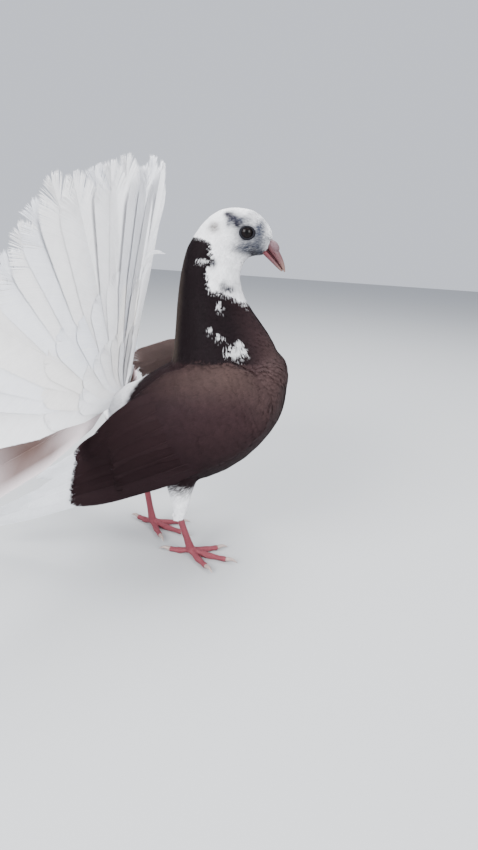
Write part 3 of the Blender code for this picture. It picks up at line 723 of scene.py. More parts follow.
# %% [markdown]
# ## Small feathers
# Every body feather is a spray of seven narrow closed blades, its barbs, which leave the shaft
# one after another and end on a round outline. Its points are dropped onto the skin and raised
# a little more towards the tip, so each row covers the roots of the next, like tiles on a roof.

# %% The tuft and the coat
BLADES = 7
BLADE_FACES = [(0, 1, 2), (0, 3, 4), (0, 4, 1), (1, 4, 5), (1, 5, 2), (2, 5, 3), (2, 3, 0), (3, 6, 4),
               (4, 6, 5), (5, 6, 3)]
COAT_BASE, ROOT_SINK = 0.00026, 0.0005  # height over the skin, and how much lower the root lies
FACE_BASE = 0.193  # above this height the coat is the face's piece
MUFF_HEM = 0.0335  # below this height the thigh feathers hang free over the shank


def tuft():
    """A small feather's points, as shares of its length and width with a height, and its faces."""
    points, faces = [], []
    for s in np.linspace(-1, 1, BLADES):
        start = np.array((0.02 + 0.28 * (1 - abs(s)), 0.20 * s))
        tip = np.array((1 - 0.28 * abs(s) ** 2.2, 0.95 * math.sin(1.25 * s) / math.sin(1.25)))
        middle = start + (tip - start) * (0.74, 0.90)
        first = len(points)
        for (u, v), wide in ((start, 0.10), (middle, 0.205)):
            points += [(u, v - wide, 0.00006), (u, v + wide, -0.00001), (u, v, -0.00007)]
        points.append((*tip, 0.0))
        faces += [(first + a, first + b, first + c) for a, b, c in BLADE_FACES]
    return np.array(points), np.array(faces)


def mesh_piece(name, points, faces, colours, uvs, finish, slot):
    """A joined mesh from arrays, with its tint, its bake map (a row for each point) and its finish."""
    mesh = bpy.data.meshes.new(name)
    mesh.from_pydata(points.tolist(), [], faces.tolist())
    set_tint(mesh, colours)
    layer = mesh.uv_layers.new(name="OFBake")
    order = np.empty(len(mesh.loops), np.int32)
    mesh.loops.foreach_get("vertex_index", order)
    layer.data.foreach_set("uv", uvs[order].astype(np.float32).ravel())
    piece = bpy.data.objects.new(name, mesh)
    bpy.context.scene.collection.objects.link(piece)
    mesh.materials.append(finish)
    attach(piece, "root")
    print(name, len(faces), "triangles")
    return piece


def coat(name, chosen, length, width, lift, seed, slot):
    """Small feathers over the skin at the chosen roots, with their length, half width and lift at the tip."""
    rng = np.random.default_rng(seed)
    template, faces = tuft()
    u, v, above = template.T
    size = len(u)
    per_blade = size // BLADES
    place, normal = roots[chosen], root_normals[chosen]
    count = len(place)
    way = lie(place) + rng.normal(0, 0.06, (count, 3))
    way = unit(way - normal * (way * normal).sum(1, keepdims=True))
    aside = np.cross(normal, way)
    half = (width * rng.uniform(0.88, 1.12, count))[:, None] * v
    at_tip = np.tile(np.arange(per_blade) == per_blade - 1, BLADES)
    ragged = np.repeat(rng.normal(0, 0.04, (count, BLADES)), per_blade, 1) * at_tip
    long = (length * rng.uniform(0.90, 1.12, count))[:, None] * (u + ragged)
    flat = place[:, None, :] + way[:, None, :] * long[:, :, None] + aside[:, None, :] * half[:, :, None]
    arch = -0.30 + 1.30 * u ** 0.8 - 0.30 * v ** 2
    rise = COAT_BASE + lift[:, None] * arch + above - ROOT_SINK * step(0.3, 0.0, u)
    points = np.empty((count * size, 3))
    for k, (at, high) in enumerate(zip(flat.reshape(-1, 3), rise.ravel())):
        if at[2] < MUFF_HEM:
            points[k] = at + normal[k // size] * (high + 0.0002)
        else:
            on_skin, outward, _, _ = skin_tree.find_nearest(at)
            points[k] = on_skin + outward * high
    draw = np.repeat(rng.random((count, BLADES)), per_blade, 1).ravel()
    whole, blade = rng.normal(0, 0.04, (count, 1)), rng.normal(0, 0.03, (count, BLADES))
    # Each feather is darker at its root and lighter at its tip: painted shade under the row above and painted
    # light on the tips; the rest is random tone
    shade = np.repeat(1 + whole + blade, per_blade, 1) * (0.90 + 0.14 * u ** 1.5)
    colours = marking(flat.reshape(-1, 3), draw) * shade.reshape(-1, 1)
    uvs = root_uvs[chosen][:, None, :] + np.stack((0.0015 * v, 0.0030 * (u - 0.5)), 1)[None]
    order = (faces[None] + (np.arange(count) * size)[:, None, None]).reshape(-1, 3)
    return mesh_piece(name, points, order, np.clip(colours, 0, 1), uvs.reshape(-1, 2), plumage_finish, slot)


print("a small feather:", len(tuft()[1]), "triangles")
gaps = spacing(roots)
face_roots = roots[:, 2] > FACE_BASE
neck_roots = (on_neck_share(roots) > 0.5) & ~face_roots
body_roots = ~face_roots & ~neck_roots
for name, chosen, seed, slot in (
        ("coat_face", face_roots, 1, "white_plumage"), ("coat_neck", neck_roots, 2, "brown_plumage"),
        ("coat_right", body_roots & (roots[:, 1] < 0), 3, "brown_plumage"),
        ("coat_left", body_roots & (roots[:, 1] >= 0), 4, "brown_plumage")):
    gap = gaps[chosen]
    hem = (roots[chosen][:, 2] - read(NECK_HEM, roots[chosen][:, 0] - AHEAD)) * (name == "coat_neck")
    over = 0.0008 * step(0.0, 0.001, hem) * step(0.012, 0.003, hem)
    coat(name, np.flatnonzero(chosen), gap * FEATHER_LENGTH, gap * FEATHER_HALF_WIDTH,
         0.00012 + gap * 0.08 + over, seed, slot)

# %% [markdown]
# ## Long feathers
# A tail or wing feather is a tapering shaft with some hundreds of barbs a side. Each barb leaves the
# shaft at a slant and ends on the feather's outline, and its section is a small triangle tilted so
# that it overlaps the next one. The barbs near the tip come loose in bunches, which frays the edge.

# %% Barbs and shafts
BARB_SLANT, BARB_THICK, BARB_POINTS = 1.25, 0.00012, 10
SHAFT_STOP, SHAFT_STATIONS, SHAFT_SIDES = 0.92, 9, 5


def rounded_outline(u, root, rise, shoulder, turn):
    """The half width along a feather as a share. It widens, stays, and closes round from the shoulder."""
    closing = 1 - np.maximum(0.0, (u - shoulder) / turn) ** 2
    return np.minimum(1.0, root + rise * u) * np.sqrt(np.maximum(0.0, closing))


def vane_outline(u):
    return rounded_outline(u, 0.38, 1.35, 0.62, 0.40)


def broad_outline(u):
    """A feather that keeps its width almost to the end, as a fantail's do."""
    return rounded_outline(u, 0.34, 1.30, 0.84, 0.175)


def barbs(half_width, length, count, rng, fray, outline):
    """Barbs of one feather as points (share along, metres across, metres above) and faces."""
    root = np.tile(np.linspace(0.03, 0.975, count), 2)
    side = np.repeat((-1.0, 1.0), count)
    loose = step(0.72, 0.98, root)
    bunch = np.repeat(rng.normal(0, 1, count // 6 + 1), 6)[:count]
    bunch = np.concatenate((bunch, np.repeat(rng.normal(0, 1, count // 5 + 1), 5)[:count]))
    single = rng.normal(0, 1, 2 * count)
    reach = BARB_SLANT * half_width / length * (1.0 - root) ** 0.22 + 0.010
    end = root + reach * (1 + 0.006 * single) + fray * loose * (0.013 * bunch + 0.006 * single)
    end = np.minimum(end, 1.0 + 0.012 * rng.random(2 * count))
    spray = 1 + fray * (0.010 * single + 0.08 * loose * bunch)
    across = side * half_width * outline(np.clip(end, 0, 1.0)) * spray
    across = across * np.clip((0.985 - root) / 0.10, 0.04, 1.0) ** 0.7
    thinning = 0.20 * loose * min(1.0, fray)
    shares = (0.95 - thinning)[:, None] * np.array((0.0, 0.55, 1.0))
    u = root[:, None] + (end - root)[:, None] * shares ** 0.85
    v = across[:, None] * shares
    run = (end - root) * length
    span = np.hypot(run, across)
    wide = 0.72 * 0.945 * length / count * (0.35 + 0.65 * np.abs(across) / span) * (1 - thinning)
    wide = wide[:, None] * np.array((1.0, 1.0, 0.85))
    back, out = wide * (np.abs(across) / span / length)[:, None], wide * (side * run / span)[:, None]
    curl = (fray * loose * rng.normal(0, 0.0006, 2 * count))[:, None] * shares ** 2
    edge_up = np.stack((u - back, v + out, curl + BARB_THICK), 2)
    edge_down = np.stack((u + back, v - out, curl - 0.2 * BARB_THICK), 2)
    keel = np.stack((u, v, curl - BARB_THICK), 2)
    rings = np.stack((edge_up, edge_down, keel), 2)
    tip = np.stack((end, across, curl[:, -1] * 1.6), 1)
    points = np.concatenate((rings.reshape(2 * count, BARB_POINTS - 1, 3), tip[:, None]), 1)
    faces = []
    for a in (0, 3):
        for k in range(3):
            m = (k + 1) % 3
            faces += [(a + k, a + m, a + 3 + m), (a + k, a + 3 + m, a + 3 + k)]
    faces = np.array(faces + [(6, 7, 9), (7, 8, 9), (8, 6, 9), (0, 2, 1)])
    order = np.where((side > 0)[:, None, None], faces[None, :, ::-1], faces[None])
    order = order + (np.arange(2 * count) * BARB_POINTS)[:, None, None]
    return points.reshape(-1, 3), order.reshape(-1, 3)


def shaft(radius):
    """A tapering shaft as points and faces in the same terms as the barbs."""
    u = np.linspace(0.0, SHAFT_STOP, SHAFT_STATIONS)[:, None]
    turn = np.arange(SHAFT_SIDES) * math.tau / SHAFT_SIDES
    size = radius * (1 - u)
    rings = np.stack(np.broadcast_arrays(u, size * np.cos(turn), size * np.sin(turn)), 2)
    faces = []
    for r in range(SHAFT_STATIONS - 1):
        a, b = r * SHAFT_SIDES, (r + 1) * SHAFT_SIDES
        for k in range(SHAFT_SIDES):
            m = (k + 1) % SHAFT_SIDES
            faces += [(a + k, b + m, a + m), (a + k, b + k, b + m)]
    last = (SHAFT_STATIONS - 1) * SHAFT_SIDES
    for k in range(1, SHAFT_SIDES - 1):
        faces += [(0, k, k + 1), (last, last + k + 1, last + k)]
    return rings.reshape(-1, 3), np.array(faces)


class Plumage:
    """Collects the feathers of one piece, each with its own rectangle of the bake map."""

    def __init__(self, feathers):
        self.columns = math.ceil(math.sqrt(feathers * 4))
        self.rows = math.ceil(feathers / self.columns)
        self.points, self.faces, self.colours, self.uvs, self.made, self.total = [], [], [], [], 0, 0

    def add(self, place, half_width, length, count, colour, rng, fray, radius, edge=None,
            outline=vane_outline):
        """place turns a share along, metres across and metres above into points.

        edge is the colour of the rim and the root, where it differs.
        """
        cell = np.array((self.made % self.columns, self.made // self.columns))
        vane = barbs(half_width, length, count, rng, fray, outline)
        for is_shaft, (flat, faces) in enumerate((vane, shaft(radius))):
            u, v, h = flat.T
            tone = 1 + rng.normal(0, 0.018, len(u) // BARB_POINTS)
            tint = np.repeat(colour[None, :], len(u), 0) * (0.97 if is_shaft else 1.0)
            if not is_shaft:
                tint = tint * np.repeat(tone, BARB_POINTS)[:, None]
                # The vane is darker next to the shaft: painted shade along the shaft
                tint = tint * (0.93 + 0.07 * np.minimum(1.0, np.abs(v) / half_width * 2))[:, None]
            if edge is not None:
                here = half_width * np.maximum(vane_outline(np.clip(u, 0, 1)), 0.2)
                rim = step(0.45, 0.85, np.maximum(np.abs(v) / here, u - 0.12))
                tint = blend(tint, edge, np.maximum(rim, step(0.52, 0.20, u)))
            spread = np.stack((np.clip(0.5 + 0.45 * v / half_width, 0.02, 0.98), np.clip(u, 0.01, 0.99)), 1)
            self.points.append(place(u, v, h))
            self.faces.append(faces + self.total)
            self.colours.append(np.clip(tint, 0, 1))
            self.uvs.append((cell + spread) / (self.columns, self.rows))
            self.total += len(u)
        self.made += 1

    def piece(self, name, finish, slot):
        arrays = [np.concatenate(rows) for rows in (self.points, self.faces, self.colours, self.uvs)]
        return mesh_piece(name, *arrays, finish, slot)


# %% [markdown]
# ## The fan
# Thirty-four broad feathers stand in a fan behind the body, all white but the lowest one on each
# side. Each starts at the same root and has its own angle from upright. Each lies over the next one
# out, and its tip leans and curls a little by its own amount, so the rim of the fan is uneven.

# %% Tail
FAN_ROOT = np.array((-0.0800 + AHEAD, 0.0, 0.1050))
FAN_SPREAD, FAN_LEAN, FAN_SWEEP = math.radians(98), math.radians(9), math.radians(15)
FAN_FEATHERS, FAN_LENGTH, FAN_HALF_WIDTH, FAN_BARBS = 34, 0.1400, 0.0162, 320
FAN_SHINGLE = 0.07  # how steeply each feather lies over the next one


def fan_direction(angle):
    """Which way a feather points at an angle from upright."""
    sweep = np.sqrt(np.sin(angle) ** 2 + 0.04) - 0.2
    forward = math.sin(FAN_LEAN) * np.maximum(np.cos(angle), 0.0) ** 1.5 - math.sin(FAN_SWEEP) * 1.2 * sweep
    way = (forward, np.sin(angle) * math.cos(FAN_SWEEP), np.cos(angle) * math.cos(FAN_LEAN))
    return unit(np.stack(way, -1))


def fan_place(angle, start, length, height, lift, drift=0.0):
    """The sheet of one fan feather. drift bends its tip sideways, in radians."""
    outward = 1.0 if angle > 0 else -1.0

    def place(u, v, h):
        turned = angle + drift * u * u
        way = fan_direction(turned)
        aside = unit(fan_direction(turned + 0.01) - fan_direction(turned - 0.01))
        front = unit(np.cross(aside, way))
        rise = height + lift * u * u + FAN_SHINGLE * v * outward + h
        return FAN_ROOT + way * (start + length * u)[:, None] + aside * v[:, None] + front * rise[:, None]

    return place


def whitish(rng):
    """White, a little warm or a little cool."""
    warmth = rng.normal(0, 1)
    return WHITE * (1 + np.array((0.012, 0.0, -0.022)) * warmth + rng.normal(0, 0.010))


# Loose plumes at the fan's front edge, each a curve through places in the side view
WISPS = [[(-0.0660, 0.1880), (-0.0630, 0.1945), (-0.0575, 0.1976), (-0.0515, 0.1968)],
         [(-0.0672, 0.1750), (-0.0640, 0.1850), (-0.0602, 0.1922)],
         [(-0.0630, 0.1950), (-0.0585, 0.2060), (-0.0561, 0.2148)],
         [(-0.0605, 0.2040), (-0.0550, 0.2190), (-0.0521, 0.2359)]]
rng = np.random.default_rng(21)
halves = {-1: Plumage(FAN_FEATHERS), 1: Plumage(FAN_FEATHERS)}
lobes = rng.normal(0, 0.0022, FAN_FEATHERS // 3 + 1)
last = FAN_FEATHERS - 1
for i in range(FAN_FEATHERS):
    angle = FAN_SPREAD * np.interp(i, [0, 1, last - 1, last], [-1, -0.85, 0.85, 1])
    side = 1 if angle > 0 else -1
    length = FAN_LENGTH + lobes[i // 3] - 0.003 * (i % 2) - rng.random() * 0.004
    outermost = i in (0, last)
    lift, drift = rng.normal(0, 0.0012), rng.normal(0, 0.012)
    place = fan_place(angle, 0.008, length, 0.0004 * (i % 2), lift, drift)
    colour, edge = (FAN_BROWN, FAN_EDGE) if outermost else (whitish(rng), None)
    halves[side].add(place, FAN_HALF_WIDTH, length, FAN_BARBS, colour, rng, fray=0.9, radius=0.0009,
                     edge=edge, outline=broad_outline)
for side, half in halves.items():
    half.piece("tail_left" if side > 0 else "tail_right", vane_finish, "white_plumage")
# Rows of tail coverts: feathers, spread in degrees, start, length, half width, height, lift at the tip
COVERT_ROWS = [(17, 84, 0.004, 0.080, 0.0110, 0.0010, 0.0002), (15, 80, 0.002, 0.046, 0.0095, 0.0018, 0.0002),
               (15, 76, 0.004, 0.062, 0.0100, -0.0022, -0.0012)]
coverts = Plumage(sum(row[0] for row in COVERT_ROWS) + len(WISPS))
for count, spread, start, length, half_width, height, lift in COVERT_ROWS:
    for i in range(count):
        angle = math.radians(-spread + 2 * spread * i / (count - 1)) + rng.normal(0, 0.02)
        place = fan_place(angle, start, length * rng.uniform(0.86, 1.06), height, lift)
        coverts.add(place, half_width, length, 80, whitish(rng), rng, fray=0.6, radius=0.0004,
                    outline=broad_outline)
for path in WISPS:
    curve = np.polyfit(np.linspace(0, 1, len(path)), np.array(path), 2)

    def place(u, v, h, curve=curve):
        at = curve[0] * (u * u)[:, None] + curve[1] * u[:, None] + curve[2]
        way = unit(2 * curve[0] * u[:, None] + curve[1])
        return np.stack((at[:, 0] - way[:, 1] * v + AHEAD, h, at[:, 1] + way[:, 0] * v), 1)

    coverts.add(place, 0.0011, 0.018, 30, WHITE, rng, fray=1.6, radius=0.0003)
fan_coverts = coverts.piece("tail_coverts", vane_finish, "white_plumage")
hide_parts("tail")

# %% [markdown]
# ## Wings
# The folded wing shows three long sets of feathers: white primaries that run back under the fan,
# brown secondaries above them, and brown tertials over both. Brown coverts hide their roots.

# %% Wings
#   name, feathers, root and tip of the lowest and of the highest one in wing terms, half width, height
WING_TIERS = [
    ("primary", 9, (0.085, -0.0150), (0.100, 0.0010), (0.2215, -0.0035), (0.1580, 0.0000), 0.0070, 0.0000),
    ("secondary", 10, (0.062, -0.0210), (0.070, 0.0150), (0.1480, -0.0110), (0.1280, 0.0130), 0.0080, 0.0009),
    ("tertial", 4, (0.060, 0.0160), (0.056, 0.0270), (0.1230, 0.0120), (0.1080, 0.0180), 0.0085, 0.0014),
    ("greater", 10, (0.050, -0.0215), (0.054, 0.0200), (0.1140, -0.0175), (0.1020, 0.0170), 0.0066, 0.0017),
]
# The far wing's raised feathers: root, tip, half width, colour
RAISED_TERTIALS = [((-0.0290, 0.0385, 0.1300), (-0.0790, 0.0375, 0.1120), 0.0085, TAN * 0.9),
                   ((-0.0250, 0.0370, 0.1405), (-0.0840, 0.0355, 0.1175), 0.0105, TAN),
                   ((-0.0190, 0.0385, 0.1370), (-0.0680, 0.0380, 0.1200), 0.0090, TAN * 0.9)]
WING_PLACES, BARB_GAP = 40, 0.00052  # rectangles on the bake map, and metres from barb to barb
ROOT_DIP, WING_SHINGLE, TERTIAL_CUP = 0.0045, 0.05, 14


def wing_feather(root, tip, side, height, order):
    """The sheet of one wing feather between two places in wing terms."""
    root, tip = np.array(root), np.array(tip)
    way = unit(tip - root)
    aside = np.array((-way[1], way[0]))

    def place(u, v, h):
        at = root + (tip - root) * u[:, None] + aside * v[:, None]
        rise = -ROOT_DIP * (1 - u) ** 2.5 + height * (0.3 + 0.7 * u) + WING_SHINGLE * v + 0.0002 * order + h
        return wing_place(at[:, 0], at[:, 1], rise, side)

    return place


def between(root, tip, rise):
    """The sheet of a feather that stands free between two places beside the body."""
    root, tip = np.array(root) + (AHEAD, 0, 0), np.array(tip) + (AHEAD, 0, 0)
    aside = unit(np.cross(tip - root, (0.0, 1.0, 0.25)))
    front = unit(np.cross(aside, tip - root))

    def place(u, v, h):
        high = h + TERTIAL_CUP * v * v + rise
        return root + (tip - root) * u[:, None] + aside * v[:, None] + front * high[:, None]

    return place


for side, name in ((-1, "right"), (1, "left")):
    rng = np.random.default_rng(40 + side)
    wing = Plumage(WING_PLACES)
    for tier, count, low_root, high_root, low_tip, high_tip, half_width, height in WING_TIERS:
        for i in range(count):
            t = i / (count - 1)
            root = np.array(low_root) * (1 - t) + np.array(high_root) * t
            tip = np.array(low_tip) * (1 - t) + np.array(high_tip) * t + rng.normal(0, 0.0006, 2)
            length = float(np.linalg.norm(tip - root))
            if tier == "primary":
                # Greyed white: painted shade, with some of the primaries' own grey tint
                colour = PRIMARY_SHADED_GREY * (1 + rng.normal(0, 0.02))
            else:
                # The lower wing feathers are darker: painted shade
                colour = blend(BROWN_SHADED, BROWN, 0.25 + 0.4 * t) * (1 + rng.normal(0, 0.05))
            wing.add(wing_feather(root, tip, side, height, i % 2), half_width, length, int(length / BARB_GAP),
                     colour, rng, fray=0.30, radius=0.0007)
    if side > 0:
        for k, (root, tip, half_width, colour) in enumerate(RAISED_TERTIALS):
            length = math.dist(root, tip)
            wing.add(between(root, tip, 0.0004 * k), half_width, length, 190, colour, rng, fray=0.0,
                     radius=0.0004, outline=broad_outline)
    made = wing.piece("flight_" + name, vane_finish, "brown_plumage")
    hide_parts("wing_" + name)

# %% [markdown]
# ## Eyes
# A fantail with a white face has a dark bull eye. The ball sits deep in the head, and a ring of
# bare, finely bumped skin closes over its rim. The upper lid comes down a little further.

# %% Eyes and lids
def bare_finish(name, scale, depth, roughness, **constants):
    """Skin or horn coloured by its tint, with a fine cellular surface."""
    material, tree, shader = new_finish(name, **constants)
    place, tint = object_place(tree), carried_tint(tree)
    cells = node(tree, "ShaderNodeTexVoronoi", {"feature": "SMOOTH_F1"}, Vector=place, Scale=scale,
                 Smoothness=0.4)
    cloud = node(tree, "ShaderNodeTexNoise", Vector=place, Scale=350.0, Detail=3.0)
    shade = 0.84 + cloud * 0.22 + cells * 0.16
    connect(shader, Base_Color=shaded(tree, tint, shade), Roughness=cloud * 0.2 + roughness,
            Normal=bump(tree, 1.0 - cells, depth))
    return material


def painted(obj, colours, finish):
    """Gives each point of a piece its colour, or all of them one."""
    set_tint(obj.data, np.clip(np.broadcast_to(colours, (len(obj.data.vertices), 3)), 0, 1))
    obj.data.materials.clear()
    obj.data.materials.append(finish)
    only(obj)
    bpy.ops.object.shade_smooth()
    return obj


lid_finish = bare_finish("eye_ring", 2600.0, 0.00012, 0.55, Specular_IOR_Level=0.10)
eye_finish, eye_tree, eye_shader = new_finish(
    "dark_eye", Coat_Weight=0.12, Coat_Roughness=0.03, Roughness=0.35, Specular_IOR_Level=0.05)
connect(eye_shader, Base_Color=carried_tint(eye_tree))
EYE_RADIUS = 0.0043
LID_RADIUS, LID_THICK, LID_OUT = 0.00365, 0.00072, 0.0027
for side, name in ((-1, "right"), (1, "left")):
    gaze = Vector((0.24, side * 1.0, 0.02)).normalized()
    centre = Vector((EYE_CENTRE[0], side * EYE_CENTRE[1], EYE_CENTRE[2]))
    tilt = gaze.to_track_quat("Z", "Y").to_euler()
    bpy.ops.mesh.primitive_uv_sphere_add(
        segments=48, ring_count=28, radius=EYE_RADIUS, location=centre, rotation=tilt)
    eye = bpy.context.object
    eye.name = "eyeball_" + name
    settle()
    off_axis = (points_of(eye) - np.array(centre)) @ np.array(gaze) / EYE_RADIUS
    iris = blend(paint(6, 5, 6), paint(14, 9, 9), step(0.955, 0.93, off_axis) * step(0.60, 0.80, off_axis))
    painted(eye, iris, eye_finish)
    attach(eye, "root")
    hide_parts("eye_" + name)
    bpy.ops.mesh.primitive_torus_add(
        major_segments=72, minor_segments=14, major_radius=LID_RADIUS, minor_radius=LID_THICK,
        location=centre + gaze * LID_OUT, rotation=tilt)
    lid = bpy.context.object
    lid.name = "eyelid_" + name
    settle()
    ring = points_of(lid)
    across, high = ring[:, 0] - centre.x, ring[:, 2] - centre.z
    ring[:, 0] = centre.x + across * (1.08 + 0.05 * np.sign(across))
    ring[:, 2] = centre.z + high * np.where(high > 0, 0.88, 0.95)
    move_points(lid, ring)
    painted(lid, paint(20, 20, 25), lid_finish)
    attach(lid, "root")
    print("eye", name, len(eye.data.polygons) + len(lid.data.polygons), "faces")

# %% [markdown]
# ## Bill
# The bill drops steeply from the forehead. The upper half carries two chalky swellings, the cere,
# with a slit of a nostril under each, and its tip hooks over the lower half. The mouth line is
# dark red and ends in a fleshy corner under the eye.

# %% Bill
BILL_DROP, BILL_LENGTH, BILL_DEPTH, BILL_WIDTH, MOUTH_LINE = math.radians(45), 0.0200, 0.0092, 0.0078, 0.42
BILL_HOOK, BILL_VOXEL = 0.0016, 0.00022
CERE_RADII, NOSTRIL_RADII = (0.0040, 0.0022, 0.0025), (0.0016, 0.0009, 0.00045)
BILL_FORWARD = Vector((math.cos(BILL_DROP), 0, -math.sin(BILL_DROP)))
BILL_UP = Vector((math.sin(BILL_DROP), 0, math.cos(BILL_DROP)))


def ring_at(centre, way, wide, high, sides):
    """A hoop across the direction way, wide sideways and high in the other direction."""
    turned = way.to_track_quat("Z", "Y").to_euler()
    bpy.ops.mesh.primitive_circle_add(vertices=sides, radius=1.0, location=centre, rotation=turned)
    ring = bpy.context.object
    ring.scale = (wide, high, 1.0)
    return ring


def bill_form(name, low, high, stop, slim=1.0):
    hoops = []
    for share in np.linspace(-0.30, stop, 18):
        taper = (1.0 - 0.30 * share - 0.55 * share ** 4) * (1.14 - 0.14 * min(1.0, 1.8 * max(share, 0.0)))
        depth = BILL_DEPTH * taper * (high - low) / 2
        wide = BILL_WIDTH / 2 * (1.0 - 0.45 * share - 0.35 * share ** 4) * slim
        centre = Vector(BILL_ROOT) + BILL_FORWARD * (BILL_LENGTH * share)
        centre += BILL_UP * (((low + high) / 2 - 0.5) * BILL_DEPTH * taper - BILL_HOOK * share ** 3)
        hoops.append(ring_at(centre, BILL_FORWARD, max(wide, 0.0003), max(depth, 0.0003), 24))
    return bridge_hoops(name, hoops)


def oval(centre, radii):
    """An egg shape that lies along the bill."""
    bpy.ops.mesh.primitive_uv_sphere_add(
        segments=24, ring_count=14, radius=1.0, location=centre, rotation=(0, BILL_DROP, 0))
    obj = bpy.context.object
    obj.scale = radii
    settle()
    return obj


def fused(name, forms, voxel, smooth):
    """One closed surface from forms that overlap, with the folds between them smoothed."""
    only(*forms)
    bpy.ops.object.join()
    obj = bpy.context.object
    obj.name = name
    applied(obj, "REMESH", mode="VOXEL", voxel_size=voxel, use_smooth_shade=True)
    return applied(obj, "SMOOTH", factor=0.5, iterations=smooth)


def bill_place(share, high, side):
    return Vector(BILL_ROOT) + BILL_FORWARD * (BILL_LENGTH * share) + BILL_UP * high + Vector((0, side, 0))


horn_finish = bare_finish("bill_horn", 900.0, 0.00003, 0.38, Specular_IOR_Level=0.22)
upper = [bill_form("bill_upper_form", MOUTH_LINE + 0.01, 1.0, 1.0)]
for side in (-1, 1):
    upper.append(oval(bill_place(0.23, 0.0033, side * 0.0019), CERE_RADII))
upper = fused("bill_top", upper, BILL_VOXEL, 3)
for side in (-1, 1):
    cut = oval(bill_place(0.43, 0.0010, side * 0.0034), NOSTRIL_RADII)
    applied(upper, "BOOLEAN", object=cut, operation="DIFFERENCE", solver="EXACT")
    bpy.data.objects.remove(cut)
lower = fused("bill_bottom", [bill_form("bill_lower_form", 0.03, MOUTH_LINE - 0.01, 0.93)], BILL_VOXEL, 3)
gape = [bill_form("mouth_form", MOUTH_LINE - 0.06, MOUTH_LINE + 0.06, 0.90, 0.93)]
gape = fused("mouth_line", gape, BILL_VOXEL, 2)
for obj, node_name in ((upper, "bill_upper"), (lower, "bill_lower"), (gape, None)):
    at = points_of(obj) - np.array(BILL_ROOT)
    share, high = at @ np.array(BILL_FORWARD) / BILL_LENGTH, at @ np.array(BILL_UP)
    colour = blend(paint(87, 58, 61), paint(112, 88, 81), step(0.55, 1.0, share))
    colour = blend(colour, paint(92, 46, 52), step(0.60, 0.20, share) * step(0.0014, -0.0012, high))
    colour = blend(colour, paint(95, 74, 79), step(0.0012, 0.0032, high) * step(0.55, 0.36, share))
    painted(obj, colour if node_name else paint(46, 16, 22), horn_finish)
    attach(obj, "root")
    if node_name:
        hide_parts(node_name)
print("bill:", len(upper.data.polygons) + len(lower.data.polygons), "faces")

# %% [markdown]
# ## Legs and claws
# The shank is bare and coral red, with a row of plates down its front and pads under the toes.
# Each toe swells at its joints. The claws are short curved horns.

# %% Legs
# Each toe's angle from the way that the foot points, in degrees, and its length
TOES = {1: (172.0, 0.0150), 2: (-38.0, 0.0205), 3: (0.0, 0.0270), 4: (38.0, 0.0215)}
SHANK_RADIUS, TOE_RADIUS, CLAW_RADIUS, CLAW_LENGTH = 0.0024, 0.0022, 0.0013, 0.0078
PLATE_STEP, TOE_PLATE_STEP, FOOT_VOXEL = 0.0022, 0.0019, 0.00042
TOE_DROP = 0.0018  # from the joint down to the toe's own height
scale_finish = bare_finish("red_scales", 1500.0, 0.00045, 0.42, Specular_IOR_Level=0.25)
claw_finish = bare_finish("claw_horn", 800.0, 0.00003, 0.30)


def limb_form(name, points, radii):
    hoops = []
    for k, (point, radius) in enumerate(zip(points, radii)):
        way = points[min(k + 1, len(points) - 1)] - points[max(k - 1, 0)]
        hoops.append(ring_at(point, way, radius, radius, 18))
    return bridge_hoops(name, hoops)


def raised(height):
    return Vector((0, 0, height))


def plates(steps, length, gap, height):
    """Radii that swell a little at each plate of horn."""
    return 1 + height * np.abs(np.sin(steps * length / gap * math.pi))


def pressed_flat(obj, floor_height):
    """Presses what is under the floor up to it, and gives the points."""
    spots = points_of(obj)
    spots[:, 2] = np.maximum(spots[:, 2], floor_height)
    move_points(obj, spots)
    return spots


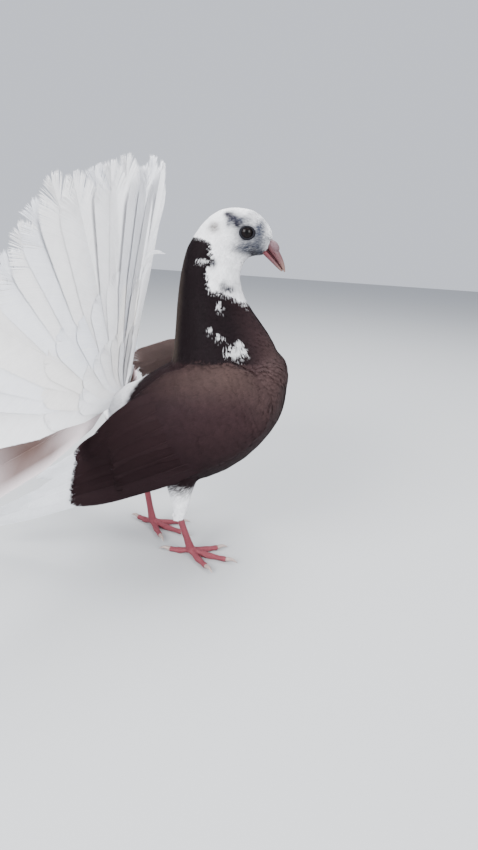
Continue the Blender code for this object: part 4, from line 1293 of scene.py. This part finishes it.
for side, name in ((-1, "right"), (1, "left")):
    leg = LEGS[name]
    hock = Vector(leg["hock"]) + Vector((AHEAD, 0, 0))
    joint = Vector(leg["joint"]) + Vector((AHEAD, 0, 0))
    steps = np.linspace(-0.10, 1.0, 56)
    girth = np.interp(steps, [-0.1, 0.0, 0.25, 0.6, 0.85, 1.0], [0.98, 1.00, 0.92, 0.92, 1.08, 1.25])
    radii = SHANK_RADIUS * girth * plates(steps, (joint - hock).length, PLATE_STEP, 0.030)
    forms = [limb_form("shank", [hock.lerp(joint, float(t)) for t in steps], radii)]
    claws = []
    for number, (turned, length) in TOES.items():
        angle = math.radians(leg["heading_deg"] + side * turned)
        forward = Vector((math.cos(angle), math.sin(angle), 0.0))
        base = Vector((joint.x, joint.y, 0.0038))
        steps = np.linspace(0.0, 1.0, 40)
        knuckle = 1.0 + 0.11 * np.cos(math.tau * 2 * steps)
        spine = [base + forward * (length * t) + raised(-TOE_DROP * min(1.0, 2.2 * t)) for t in steps]
        radii = TOE_RADIUS * (1.0 - 0.20 * steps) * knuckle * plates(steps, length, TOE_PLATE_STEP, 0.035)
        forms.append(limb_form("toe", spine, radii * np.interp(steps, [0, 0.92, 1], [1, 1, 0.60])))
        start = base + forward * (length - 0.0008) + raised(-TOE_DROP)
        steps = np.linspace(0, 1, 12)
        bend = [start + forward * (CLAW_LENGTH * t) + raised(0.0012 * math.sin(2.6 * t) - 0.0014 * t * t)
                for t in steps]
        claws.append(limb_form("claw", bend, CLAW_RADIUS * (1 - steps ** 1.6) + 0.00018))
    shank = fused("foot_" + name, forms, FOOT_VOXEL, 4)
    spots = pressed_flat(shank, 0.0)
    # Darker and a little greyer where the foot lies within 1.6 mm of the floor
    near_floor = step(0.0016, 0.0, spots[:, 2])[:, None]
    painted(shank, paint(120, 57, 66) * (1 - 0.25 * near_floor) + 0.03 * near_floor, scale_finish)
    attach(shank, "root")
    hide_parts("leg_" + name)
    only(*claws)
    bpy.ops.object.join()
    claws = bpy.context.object
    claws.name = "claws_" + name
    pressed_flat(claws, 0.0001)
    painted(claws, paint(150, 134, 128), claw_finish)
    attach(claws, "root")
    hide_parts(*["claw_%s_%d" % (name, number) for number in TOES])
    print("foot", name, len(shank.data.polygons), "faces")
